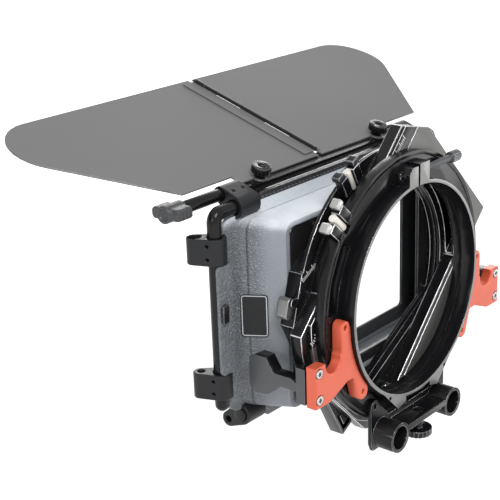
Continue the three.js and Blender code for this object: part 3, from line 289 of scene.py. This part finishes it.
def litRearFace():
    look = Finish("paintedLitRearFace")
    cloud = look.noise(*litRear["cloud"])
    grit = look.noise(*litRear["grit"])
    tone = cloud * litRear["cloudShare"] + grit * litRear["gritShare"]
    look.set(
        colour=look.blend(tone, toned(litRear["colour"], litRear["deep"]), litRear["colour"]),
        rough=cloud * litRear["roughSpread"] + litRear["rough"],
        metal=litRear["metal"],
        normal=look.bump(grit, litRear["gritDepth"]),
    )
    return look.material


# Satin aluminium of the rear plate, the catch tabs and the lever
satin = {
    "lines": (1.0, 3.0, 0.6),
    "lineStretch": (60.0, 60.0, 2400.0),
    "lineSpread": 0.18,
    "lineDepth": 0.00002,
    "smudge": (30.0, 3.0),
    "smudged": 0.72,
}
satins = {
    "satinPlate": {"colour": (0.11, 0.11, 0.105), "metal": 0.35, "rough": 0.45},
    "satinTab": {"colour": (0.46, 0.46, 0.45), "metal": 0.7, "rough": 0.32},
    "satinLever": {"colour": (0.3, 0.3, 0.3), "metal": 0.85, "rough": 0.3},
}


def satinMetal(name):
    metal = satins[name]
    look = Finish(name)
    lines = look.noise(*satin["lines"], look.stretched(satin["lineStretch"]))
    smudge = look.noise(*satin["smudge"])
    look.set(
        colour=look.blend(smudge, metal["colour"], toned(metal["colour"], satin["smudged"])),
        rough=lines * satin["lineSpread"] + (metal["rough"] - satin["lineSpread"] / 2),
        metal=metal["metal"],
        normal=look.bump(lines, satin["lineDepth"]),
    )
    return look.material


# Red of the two brackets
red = {
    "colour": (0.7, 0.135, 0.07),
    "deep": (0.56, 0.08, 0.038),
    "cloud": (45.0, 3.0),
    "roughSpread": 0.12,
    "rough": 0.3,
    "metal": 0.25,
    "level": 0.3,
    "coat": 0.15,
    "coatRough": 0.25,
    "blast": (2200.0, 1.0),
    "blastDepth": 0.00003,
}


def redAnodised():
    look = Finish("redAnodised")
    cloud = look.noise(*red["cloud"])
    blast = look.noise(*red["blast"])
    look.set(
        colour=look.blend(cloud, red["colour"], red["deep"]),
        rough=cloud * red["roughSpread"] + red["rough"],
        metal=red["metal"],
        level=red["level"],
        coat=red["coat"],
        coatRough=red["coatRough"],
        normal=look.bump(blast, red["blastDepth"]),
    )
    return look.material


# Paints, plastics and steel: a clouded finish with a fine grain. The plain values hold where a paint
# gives none of its own
paint = {
    "cloud": (40.0, 4.0, 0.6),
    "deep": 0.78,
    "roughSpread": 0.14,
    "grainDetail": 2.0,
    "plain": {"level": 0.5, "grain": 1800.0, "depth": 0.00004},
}
paints = {
    # grey of the clamp screw, also put on the sideways faces of the hooks as painted light
    "greyScrewAndLitHookSide": {
        "colour": (0.085, 0.088, 0.094), "rough": 0.42, "metal": 0.1, "level": 0.3,
        "grain": 1200.0, "depth": 0.00006,
    },
    "clipGreyPaint": {
        "colour": (0.014, 0.0145, 0.016), "rough": 0.4, "metal": 0.0, "level": 0.25,
        "grain": 900.0, "depth": 0.0001,
    },
    "maskBlack": {
        "colour": (0.05, 0.052, 0.055), "rough": 0.5, "metal": 0.0, "level": 0.3,
        "grain": 1500.0, "depth": 0.00006,
    },
    "knobPlastic": {
        "colour": (0.042, 0.044, 0.046), "rough": 0.42, "metal": 0.1, "grain": 420.0, "depth": 0.0003,
    },
    "ivoryPlastic": {"colour": (0.78, 0.75, 0.68), "rough": 0.32, "metal": 0.0},
    "screwSteel": {"colour": (0.5, 0.5, 0.5), "rough": 0.25, "metal": 0.95, "depth": 0.00001},
    "whitePrint": {"colour": (0.75, 0.75, 0.74), "rough": 0.5, "metal": 0.0},
    "seamThread": {
        "colour": (0.16, 0.165, 0.175), "rough": 0.6, "metal": 0.0, "grain": 3000.0, "depth": 0.0001,
    },
    "badgeBorder": {"colour": (0.42, 0.44, 0.46), "rough": 0.35, "metal": 0.5},
}


def painted(name):
    coat = {**paint["plain"], **paints[name]}
    look = Finish(name)
    cloud = look.noise(*paint["cloud"])
    grain = look.noise(coat["grain"], paint["grainDetail"])
    look.set(
        colour=look.blend(cloud, coat["colour"], toned(coat["colour"], paint["deep"])),
        rough=cloud * paint["roughSpread"] + (coat["rough"] - paint["roughSpread"] / 2),
        metal=coat["metal"],
        level=coat["level"],
        normal=look.bump(grain, coat["depth"]),
    )
    return look.material


# Leather of the hood. Each tone starts at its From and is full at its To, in metres: pale and fold on
# the way up, near, lip and the corner line on the way forward. Pale is painted light, paler on the top
# and on the lower band of the top lip, and near darkens the side towards the lips. The fold is the black
# upper part of the top lip, and the corner line is painted shade, a dark line just behind the lips
leather = {
    "light": (0.27, 0.294, 0.324),
    "dark": (0.165, 0.18, 0.2),
    "sway": (24.0, 4.0, 0.6),
    "swayRise": 0.008,
    # painted light: the paler tone of the top and of the lower band of the top lip
    "pale": (0.75, 0.79, 0.84),
    "paleFrom": 0.0515,
    "paleTo": 0.0594,
    "nearFrom": 0.043,
    "nearTo": 0.0565,
    "nearShade": 0.35,
    "nearDim": 0.15,
    "lip": (0.15, 0.162, 0.176),
    "lipFrom": 0.0563,
    "lipTo": 0.0567,
    "lipShare": 0.8,
    # painted shade: the dark line in the corner just behind the lips
    "cornerShade": (0.018, 0.02, 0.023),
    "cornerShadeFrom": 0.055,
    "cornerShadeTo": 0.0562,
    "cornerShadeShare": 0.85,
    "fold": (0.012, 0.0125, 0.0135),
    "foldFrom": 0.0662,
    "foldTo": 0.0668,
    "rough": 0.4,
    "coat": 0.2,
    "coatRough": 0.35,
    "depth": 0.0015,
}

# Its creases are the edges of warped cells, bumped and darkened by painted shade, stronger near the lips and
# fainter where it is pale
creases = {
    # painted shade: the dark colour laid along the creases
    "colour": (0.05, 0.055, 0.062),
    "warpNoise": (150.0, 3.0),
    "warp": (0.006, 0.006, 0.006),
    "cells": (340.0, 520.0, 600.0),
    "width": 0.3,
    "tone": 0.03,
    "toneNear": 0.3,
    "tonePale": 0.85,
    "height": 0.04,
    "heightNear": 0.34,
    "heightPale": 0.75,
    "rough": 0.2,
    "swell": (60.0, 3.0),
    "swellHeight": 0.3,
    "grain": 1100.0,
    "grainHeight": 0.03,
}


def leatherCrease(look):
    drift = look.noise(*creases["warpNoise"], out="Color")
    warped = look.node("ShaderNodeVectorMath", {"operation": "MULTIPLY_ADD"}, {
        0: drift, 1: creases["warp"], 2: look.spot,
    })
    edge = look.cells("DISTANCE_TO_EDGE", 1.0, look.stretched(creases["cells"], spot=warped))
    return 1.0 - look.limit(edge, 0.0, creases["width"])


def hoodLeather():
    look = Finish("hoodLeather")
    forward = look.node("ShaderNodeSeparateXYZ", {}, {"Vector": look.spot}, "Y")
    rise = look.node("ShaderNodeSeparateXYZ", {}, {"Vector": look.spot}, "Z")
    sway = look.noise(*leather["sway"])
    crease = leatherCrease(look)

    # Where each tone lies
    near = look.limit(forward, leather["nearFrom"], leather["nearTo"])
    lip = look.limit(forward, leather["lipFrom"], leather["lipTo"])
    # painted shade in the corner just behind the lips
    cornerShade = look.limit(forward, leather["cornerShadeFrom"], leather["cornerShadeTo"]) * (1.0 - lip)
    # painted light: paler towards the top, its lower edge swaying
    swayed = rise + sway * leather["swayRise"] - leather["swayRise"] / 2
    paintedTopLight = look.limit(swayed, leather["paleFrom"], leather["paleTo"])
    folded = look.limit(rise, leather["foldFrom"], leather["foldTo"])

    # The tones over one another
    base = look.blend(sway, leather["dark"], leather["light"])
    shaded = look.blend(near * leather["nearShade"], base, leather["lip"])
    paler = look.blend(paintedTopLight * (1.0 - near * leather["nearDim"]), shaded, leather["pale"])
    # painted shade: the creases are darkened in colour
    lines = crease * (near * creases["toneNear"] + creases["tone"]) * (1.0 - paintedTopLight * creases["tonePale"])
    creaseShaded = look.blend(lines, paler, creases["colour"])
    cornerShaded = look.blend(cornerShade * (1.0 - paintedTopLight) * leather["cornerShadeShare"], creaseShaded, leather["cornerShade"])
    flanged = look.blend(lip * (1.0 - paintedTopLight) * leather["lipShare"], cornerShaded, leather["lip"])

    swell = look.noise(*creases["swell"]) * creases["swellHeight"]
    grain = look.cells("F1", creases["grain"]) * creases["grainHeight"]
    sharp = near * creases["heightNear"] + creases["height"]
    look.set(
        colour=look.blend(folded, flanged, leather["fold"]),
        rough=crease * creases["rough"] + leather["rough"],
        coat=leather["coat"],
        coatRough=leather["coatRough"],
        normal=look.bump(
            swell + grain - crease * sharp * (1.0 - paintedTopLight * creases["heightPale"]), leather["depth"],
        ),
    )
    return look.material


# Grey powder coat of the flag
powder = {
    "colour": (0.155, 0.155, 0.154),
    "deep": 0.86,
    "cloud": (14.0, 3.0, 0.5),
    "cloudShare": 0.6,
    "speck": (520.0, 2.0),
    "speckShare": 0.4,
    "grain": (1500.0, 2.0),
    "grainDepth": 0.00005,
    "roughSpread": 0.12,
    "rough": 0.6,
    "level": 0.3,
}


def powderCoat():
    look = Finish("flagPowderCoat")
    cloud = look.noise(*powder["cloud"])
    grain = look.noise(*powder["grain"])
    speck = look.noise(*powder["speck"])
    tone = cloud * powder["cloudShare"] + speck * powder["speckShare"]
    look.set(
        colour=look.blend(tone, toned(powder["colour"], powder["deep"]), powder["colour"]),
        rough=cloud * powder["roughSpread"] + powder["rough"],
        level=powder["level"],
        normal=look.bump(grain, powder["grainDepth"]),
    )
    return look.material


blackFace = anodisedFace("blackAnodised")
deepBlack = anodisedFace("deepBlack")
castBlack = anodisedFace("castBlack")
brightEdge = machinedEdge("brightEdge", machined["bright"])
dullEdge = machinedEdge("dullEdge", machined["dull"])
paintedLitRear = litRearFace()
satinPlate = satinMetal("satinPlate")
satinTab = satinMetal("satinTab")
satinLever = satinMetal("satinLever")
redFace = redAnodised()
screwGreyAndLitSide = painted("greyScrewAndLitHookSide")
clipPaint = painted("clipGreyPaint")
maskBlack = painted("maskBlack")
knobPlastic = painted("knobPlastic")
ivory = painted("ivoryPlastic")
steel = painted("screwSteel")
whitePrint = painted("whitePrint")
thread = painted("seamThread")
borderPaint = painted("badgeBorder")
hoodGrain = hoodLeather()
flagFace = powderCoat()
print("finishes made")


# How a CAD shape is merged and its edges are softened, in millimetres and degrees
skin = {"weld": 0.002, "flatAngle": 0.6, "sharpAngle": 32.0, "steps": 2, "fineSteps": 3, "leatherSteps": 4}


def cadForm(node):
    form = bmesh.new()
    form.from_mesh(frame["nodes"][node].data)
    bmesh.ops.remove_doubles(form, verts=form.verts[:], dist=skin["weld"] * mm)
    flat = math.radians(skin["flatAngle"])
    bmesh.ops.dissolve_limit(form, angle_limit=flat, verts=form.verts[:], edges=form.edges[:])
    return form


def bodyOf(node):
    return frame["nodes"][node]["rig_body"]


def addPiece(name, form, finishes, body, smooth=True):
    for facet in form.faces:
        facet.smooth = smooth
    mesh = bpy.data.meshes.new(name)
    form.to_mesh(mesh)
    form.free()
    for finish in finishes:
        mesh.materials.append(finish)
    piece = bpy.data.objects.new(name, mesh)
    bpy.context.scene.collection.objects.link(piece)
    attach(piece, body)
    return piece


def softEdges(piece, width, steps=skin["steps"]):
    bevel = piece.modifiers.new("softEdge", "BEVEL")
    bevel.limit_method = "ANGLE"
    bevel.angle_limit = math.radians(skin["sharpAngle"])
    bevel.width = width * mm
    bevel.segments = steps
    bevel.material = 1  # the second finish of a piece is the one on its edges
    bevel.harden_normals = True
    bevel.miter_outer = "MITER_ARC"


# Dark knuckles down the middle of the flag, and the end of their rod, in millimetres and degrees
hinge = {
    "halfWidth": 1.35,
    "slope": 18.1,
    "far": (0.0, 174.5, 108.2),
    "endRadius": 1.45,
    "endLength": 9.0,
    "endSides": 20,
    "endSoft": 0.3625,
}

# Faces that get a third finish, which on the clamp ring and the hooks is painted light: how squarely they
# have to look rearwards or sideways
squarely = 0.9


def facesRear(facet):
    return facet.normal.y < -squarely


def facesSide(facet):
    return abs(facet.normal.x) > squarely


def facesHinge(facet):
    return abs(facet.calc_center_median().x) < hinge["halfWidth"] * mm


def dress(node, slot, face, soft, edge=None, zone=None, other=None, steps=skin["steps"]):
    form = cadForm(node)
    for facet in form.faces:
        facet.material_index = 2 if zone and zone(facet) else 0
    finishes = (face, edge or face, other or face)
    smooth = slot != "flag_metal"  # the thin leaves of the flag stay flat between their edges
    piece = addPiece(node + "_skin", form, finishes, bodyOf(node), smooth)
    softEdges(piece, soft, steps)
    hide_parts(node)


# What the dressed pieces are made of and how wide their edges are
screwLook = {"slot": "screw_steel", "face": steel, "soft": 0.2}
pinLook = {"slot": "ivory_plastic", "face": ivory, "soft": 0.5, "steps": skin["fineSteps"]}
brightTab = {"slot": "satin_metal", "face": satinTab, "soft": 0.7, "steps": skin["fineSteps"]}
darkTab = {
    "slot": "satin_metal", "face": clipPaint, "soft": 0.6, "edge": dullEdge, "steps": skin["fineSteps"],
}
# the hooks are black with grey sideways faces: painted light and shade, a lit and a shaded copy chosen by
# face direction
hookLook = {
    "slot": "grey_metal", "face": blackFace, "soft": 0.45, "edge": dullEdge,
    "zone": facesSide, "other": screwGreyAndLitSide,
}
leafLook = {"slot": "flag_metal", "face": flagFace, "soft": 0.2, "edge": dullEdge}
stripLook = {
    "slot": "flag_metal", "face": flagFace, "soft": 0.1, "edge": castBlack,
    "zone": facesHinge, "other": castBlack,
}
brightBlack = {"slot": "black_metal", "face": blackFace, "soft": 0.4, "edge": brightEdge}
fineBlack = {"slot": "black_metal", "face": blackFace, "soft": 0.3, "edge": dullEdge}
castLook = {"slot": "black_metal", "face": castBlack, "soft": 0.3, "edge": dullEdge}

dressed = {
    # the rear-facing faces of the clamp ring take painted light, a pale grey
    "clamp_ring": {**brightBlack, "zone": facesRear, "other": paintedLitRear},
    "clamp_screw": {"slot": "black_metal", "face": screwGreyAndLitSide, "soft": 0.25, "edge": dullEdge},
    "bracket_screw_upper_left": screwLook,
    "bracket_screw_upper_right": screwLook,
    "bracket_screw_lower_left": screwLook,
    "bracket_screw_lower_right": screwLook,
    "hook_left": hookLook,
    "hook_right": hookLook,
    "base_ring": {**brightBlack, "edge": dullEdge},
    "rear_catch_body": brightBlack,
    "rear_catch_pin": pinLook,
    "rear_catch_tab_upper": brightTab,
    "rear_catch_tab_lower": brightTab,
    "rod_bracket": {**brightBlack, "soft": 0.5},
    "rod_lock_knob": {**fineBlack, "soft": 0.25},
    "rear_stage_frame": brightBlack,
    "front_stage_frame": {**brightBlack, "soft": 0.45},
    "stage_lock_knob": {"slot": "black_plastic", "face": deepBlack, "soft": 0.5, "edge": dullEdge},
    "front_tray": fineBlack,
    "front_catch_body": brightBlack,
    "front_catch_pin": pinLook,
    "front_catch_tab_upper": darkTab,
    "front_catch_tab_lower": darkTab,
    "hood_adapter": castLook,
    "lower_shade": castLook,
    "hood_shell": {"slot": "grained_hood", "face": hoodGrain, "soft": 1.6, "steps": skin["leatherSteps"]},
    "hood_latch": {**castLook, "soft": 0.6},
    "front_mask": {"slot": "black_plastic", "face": maskBlack, "soft": 0.3, "edge": dullEdge},
    "tube_frame": {"slot": "black_metal", "face": blackFace, "soft": 0.1},
    "bottom_bar": {"slot": "black_metal", "face": castBlack, "soft": 0.3},
    "flag_bar": fineBlack,
    "thumb_screw_left": fineBlack,
    "thumb_screw_right": fineBlack,
    "flag_right": leafLook,
    "flag_left": leafLook,
    "flag_hinge_left": stripLook,
    "flag_hinge_right": stripLook,
    "flag_hinge_pin": {"slot": "screw_steel", "face": castBlack, "soft": 0.1},
}
for node, look in dressed.items():
    dress(node, **look)
print("pieces dressed", len(dressed))


# Bare badge plate: a pale border round a blank field, which lies a little lower
badge = {"border": 0.7, "margin": 0.5, "step": 0.1, "sunk": 0.08, "soft": 0.12}


def addBadge():
    form = cadForm("badge_plate")
    outer = min(form.faces, key=lambda facet: facet.normal.x * facet.calc_area())
    bmesh.ops.inset_region(form, faces=[outer], thickness=badge["margin"] * mm)
    ring = bmesh.ops.inset_region(form, faces=[outer], thickness=badge["border"] * mm)["faces"]
    bmesh.ops.inset_region(form, faces=[outer], thickness=badge["step"] * mm, depth=-badge["sunk"] * mm)
    for facet in ring:
        facet.material_index = 2
    finishes = (deepBlack, deepBlack, borderPaint)
    piece = addPiece("badge_plate_skin", form, finishes, bodyOf("badge_plate"))
    softEdges(piece, badge["soft"])
    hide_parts("badge_plate")


# Pieces with every corner run round. A voxel is in millimetres, rounds are the steps of smoothing
tumbled = {
    "wing_knob": {"slot": "black_plastic", "finish": knobPlastic, "voxel": 0.5, "factor": 0.6, "rounds": 11},
    "stage_lever": {"slot": "satin_metal", "finish": satinLever, "voxel": 0.3, "factor": 0.5, "rounds": 9},
    "red_bracket_left": {"slot": "red_metal", "finish": redFace, "voxel": 0.5, "factor": 0.5, "rounds": 7},
    "red_bracket_right": {"slot": "red_metal", "finish": redFace, "voxel": 0.5, "factor": 0.5, "rounds": 7},
}
clipLook = {"slot": "dark_grey_metal", "finish": clipPaint, "voxel": 0.4, "factor": 0.5, "rounds": 3}
for place in ("top", "side_upper", "side_lower", "bottom"):
    for side in ("left", "right"):
        tumbled[f"clip_{place}_{side}"] = clipLook


def addTumbled(node, look):
    piece = addPiece(node + "_skin", cadForm(node), (look["finish"],), bodyOf(node))
    rebuild = piece.modifiers.new("rebuild", "REMESH")
    rebuild.mode = "VOXEL"
    rebuild.voxel_size = look["voxel"] * mm
    rebuild.use_smooth_shade = True
    rounding = piece.modifiers.new("rounding", "SMOOTH")
    rounding.factor = look["factor"]
    rounding.iterations = look["rounds"]
    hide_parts(node)


# The stages stand turned about the optical axis, and each has a node with its rear face
stages = {
    "rear_stage": {"turn": 45.0, "face": "rear_stage_plate"},
    "front_stage": {"turn": 28.0, "face": "front_stage_frame"},
}

# Rear plate: satin, with a black margin along its upper edge and a bright step between the two
plate = {"margin": 50.4, "step": 0.25, "soft": 0.45}


def addRearPlate():
    turn = math.radians(stages["rear_stage"]["turn"])
    up = Vector((-math.sin(turn), 0.0, math.cos(turn)))
    stepTop = plate["margin"] + plate["step"]
    form = cadForm("rear_stage_plate")
    for edge in (plate["margin"], stepTop):
        parts = form.verts[:] + form.edges[:] + form.faces[:]
        bmesh.ops.bisect_plane(form, geom=parts, plane_co=up * edge * mm, plane_no=up)
    for facet in form.faces:
        rise = facet.calc_center_median().dot(up) / mm
        if rise > stepTop:
            facet.material_index = 2
        elif rise > plate["margin"]:
            facet.material_index = 1
    finishes = (satinPlate, brightEdge, blackFace)
    piece = addPiece("rear_stage_plate_skin", form, finishes, bodyOf("rear_stage_plate"))
    softEdges(piece, plate["soft"])
    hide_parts("rear_stage_plate")


def addHingeEnd():
    form = bmesh.new()
    slope = math.radians(hinge["slope"])
    along = Vector((0.0, math.cos(slope), math.sin(slope)))
    turn = along.to_track_quat("Z", "Y").to_matrix()
    radius = hinge["endRadius"] * mm
    bmesh.ops.create_cone(
        form, cap_ends=True, segments=hinge["endSides"], radius1=radius, radius2=radius,
        depth=hinge["endLength"] * mm,
    )
    bmesh.ops.rotate(form, verts=form.verts[:], cent=(0, 0, 0), matrix=turn)
    centre = Vector(hinge["far"]) - along * hinge["endLength"] / 2
    bmesh.ops.translate(form, verts=form.verts[:], vec=centre * mm)
    finishes = (castBlack, dullEdge)
    piece = addPiece("hinge_end", form, finishes, bodyOf("flag_hinge_pin"))
    softEdges(piece, hinge["endSoft"])


# Plain scales on the rear faces of the stages, each started in its stage's own turned axes
scales = {
    "frontScale": {"stage": "front_stage", "start": (-58.0, 57.0), "count": 11, "step": 1.3},
    "rearScaleLeft": {"stage": "rear_stage", "start": (-67.5, 52.2), "count": 13, "step": 1.4},
    "rearScaleRight": {"stage": "rear_stage", "start": (47.0, 57.3), "count": 17, "step": 1.35},
}
mark = {"width": 0.55, "short": 2.1, "long": 3.6, "every": 4, "depth": 0.08}


def addMark(form, across, rise, height, rear, turn):
    made = bmesh.ops.create_cube(form, size=1.0)["verts"]
    bmesh.ops.scale(form, verts=made, vec=Vector((mark["width"], mark["depth"], height)) * mm)
    bmesh.ops.rotate(form, verts=made, cent=(0, 0, 0), matrix=Matrix.Rotation(-turn, 3, "Y"))
    centre = Vector((across, rear - mark["depth"] / 2, rise))
    bmesh.ops.translate(form, verts=made, vec=centre * mm)


def addScale(name, scale):
    stage = stages[scale["stage"]]
    turn = math.radians(stage["turn"])
    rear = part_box(stage["face"])[0].y / mm
    form = bmesh.new()
    for i in range(scale["count"]):
        height = mark["short"] if i % mark["every"] else mark["long"]
        across = scale["start"][0] + i * scale["step"]
        rise = scale["start"][1] + height / 2
        turnedAcross = across * math.cos(turn) - rise * math.sin(turn)
        turnedRise = across * math.sin(turn) + rise * math.cos(turn)
        addMark(form, turnedAcross, turnedRise, height, rear, turn)
    addPiece(name, form, (whitePrint,), scale["stage"], False)


# Seams sewn along the lips of the hood, stitch by stitch
lips = {"rear": 57.0, "low": -29.4, "high": 36.4, "topHalf": 77.2}
seam = {"pitch": 3.4, "length": 2.3, "radius": 0.28, "sides": 8, "rings": 6, "sink": 0.05, "inset": 2.6}


def addSeam(name, start, end):
    rear = lips["rear"] - seam["sink"]
    first = Vector((start[0], rear, start[1])) * mm
    last = Vector((end[0], rear, end[1])) * mm
    turn = (last - first).to_track_quat("Z", "Y").to_matrix()
    stretch = seam["length"] / seam["radius"] / 2
    count = int((last - first).length / mm / seam["pitch"])
    form = bmesh.new()
    for i in range(count):
        made = bmesh.ops.create_uvsphere(
            form, u_segments=seam["sides"], v_segments=seam["rings"], radius=seam["radius"] * mm,
        )["verts"]
        bmesh.ops.scale(form, verts=made, vec=(1.0, 1.0, stretch))
        bmesh.ops.rotate(form, verts=made, cent=(0, 0, 0), matrix=turn)
        bmesh.ops.translate(form, verts=made, vec=first.lerp(last, (i + 0.5) / count))
    addPiece(name, form, (thread,), "matte_box")


def addSeams():
    hoodLow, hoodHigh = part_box("hood_shell")
    across = hoodLow.x / mm + seam["inset"]
    rise = hoodHigh.z / mm - seam["inset"]
    addSeam("seam_left", (across, lips["low"]), (across, lips["high"]))
    addSeam("seam_right", (-across, lips["low"]), (-across, lips["high"]))
    addSeam("seam_top", (-lips["topHalf"], rise), (lips["topHalf"], rise))


addBadge()
for node, look in tumbled.items():
    addTumbled(node, look)
addRearPlate()
addHingeEnd()
for name, scale in scales.items():
    addScale(name, scale)
addSeams()
print("details added")


# A plain pale studio, in metres. Only the floor's drop below the part is in millimetres
studio = {
    "white": (1.0, 1.0, 1.0),
    "fill": (0.55, 0.55, 0.55),
    "floor": (0.8, 0.8, 0.8),
    "floorRough": 0.9,
    "floorLevel": 0.1,
    "floorGlow": (0.55, 0.55, 0.55),
    "noGlow": (0.0, 0.0, 0.0),
    "floorDrop": 45.0,
    "floorHalf": 6.0,
    "aim": (0.0, 0.04, 0.0),
}
lamps = {
    "keyLamp": {"place": (-0.6, -0.75, 1.05), "size": 0.5, "power": 13.0},
    "sheenLamp": {"place": (1.05, 0.94, 0.5), "size": 0.8, "power": 7.5},
    "rearLamp": {"place": (0.58, -0.5, 0.02), "size": 0.3, "power": 1.1},
    "stripLamp": {"place": (-0.9, -0.1, 0.35), "size": 0.12, "power": 1.6},
}


def addWorld():
    world = bpy.data.worlds.new("paleRoom")
    bpy.context.scene.world = world
    world.use_nodes = True
    world.node_tree.nodes.clear()
    room = NodeTree(world.node_tree)
    dim = room.node("ShaderNodeBackground", {}, {"Color": studio["fill"]})
    white = room.node("ShaderNodeBackground", {}, {"Color": studio["white"]})
    shown = room.node("ShaderNodeMixShader", {}, {0: room.seen(), 1: dim, 2: white})
    room.node("ShaderNodeOutputWorld", {}, {0: shown})


def addFloor():
    form = bmesh.new()
    bmesh.ops.create_grid(form, x_segments=1, y_segments=1, size=studio["floorHalf"])
    height = cadLow.z - studio["floorDrop"] * mm
    bmesh.ops.translate(form, verts=form.verts[:], vec=(0.0, 0.0, height))
    mesh = bpy.data.meshes.new("floor")
    form.to_mesh(mesh)
    form.free()
    floor = bpy.data.objects.new("floor", mesh)
    bpy.context.scene.collection.objects.link(floor)
    look = Finish("paleFloor")
    look.set(
        colour=studio["floor"],
        rough=studio["floorRough"],
        level=studio["floorLevel"],
        glow=look.blend(look.seen(), studio["noGlow"], studio["floorGlow"]),
        glowStrength=1.0,
    )
    mesh.materials.append(look.material)


def addLamp(name, place, size, power):
    light = bpy.data.lights.new(name, "AREA")
    light.shape = "DISK"
    light.size = size
    light.energy = power
    turn = (Vector(studio["aim"]) - Vector(place)).to_track_quat("-Z", "Y")
    lamp = bpy.data.objects.new(name, light)
    lamp.matrix_world = Matrix.Translation(place) @ turn.to_matrix().to_4x4()
    lamp.visible_camera = False
    bpy.context.scene.collection.objects.link(lamp)


addCamera()
bpy.context.scene.view_settings.view_transform = "Standard"
addWorld()
addFloor()
for name, lamp in lamps.items():
    addLamp(name, **lamp)
print("studio ready")
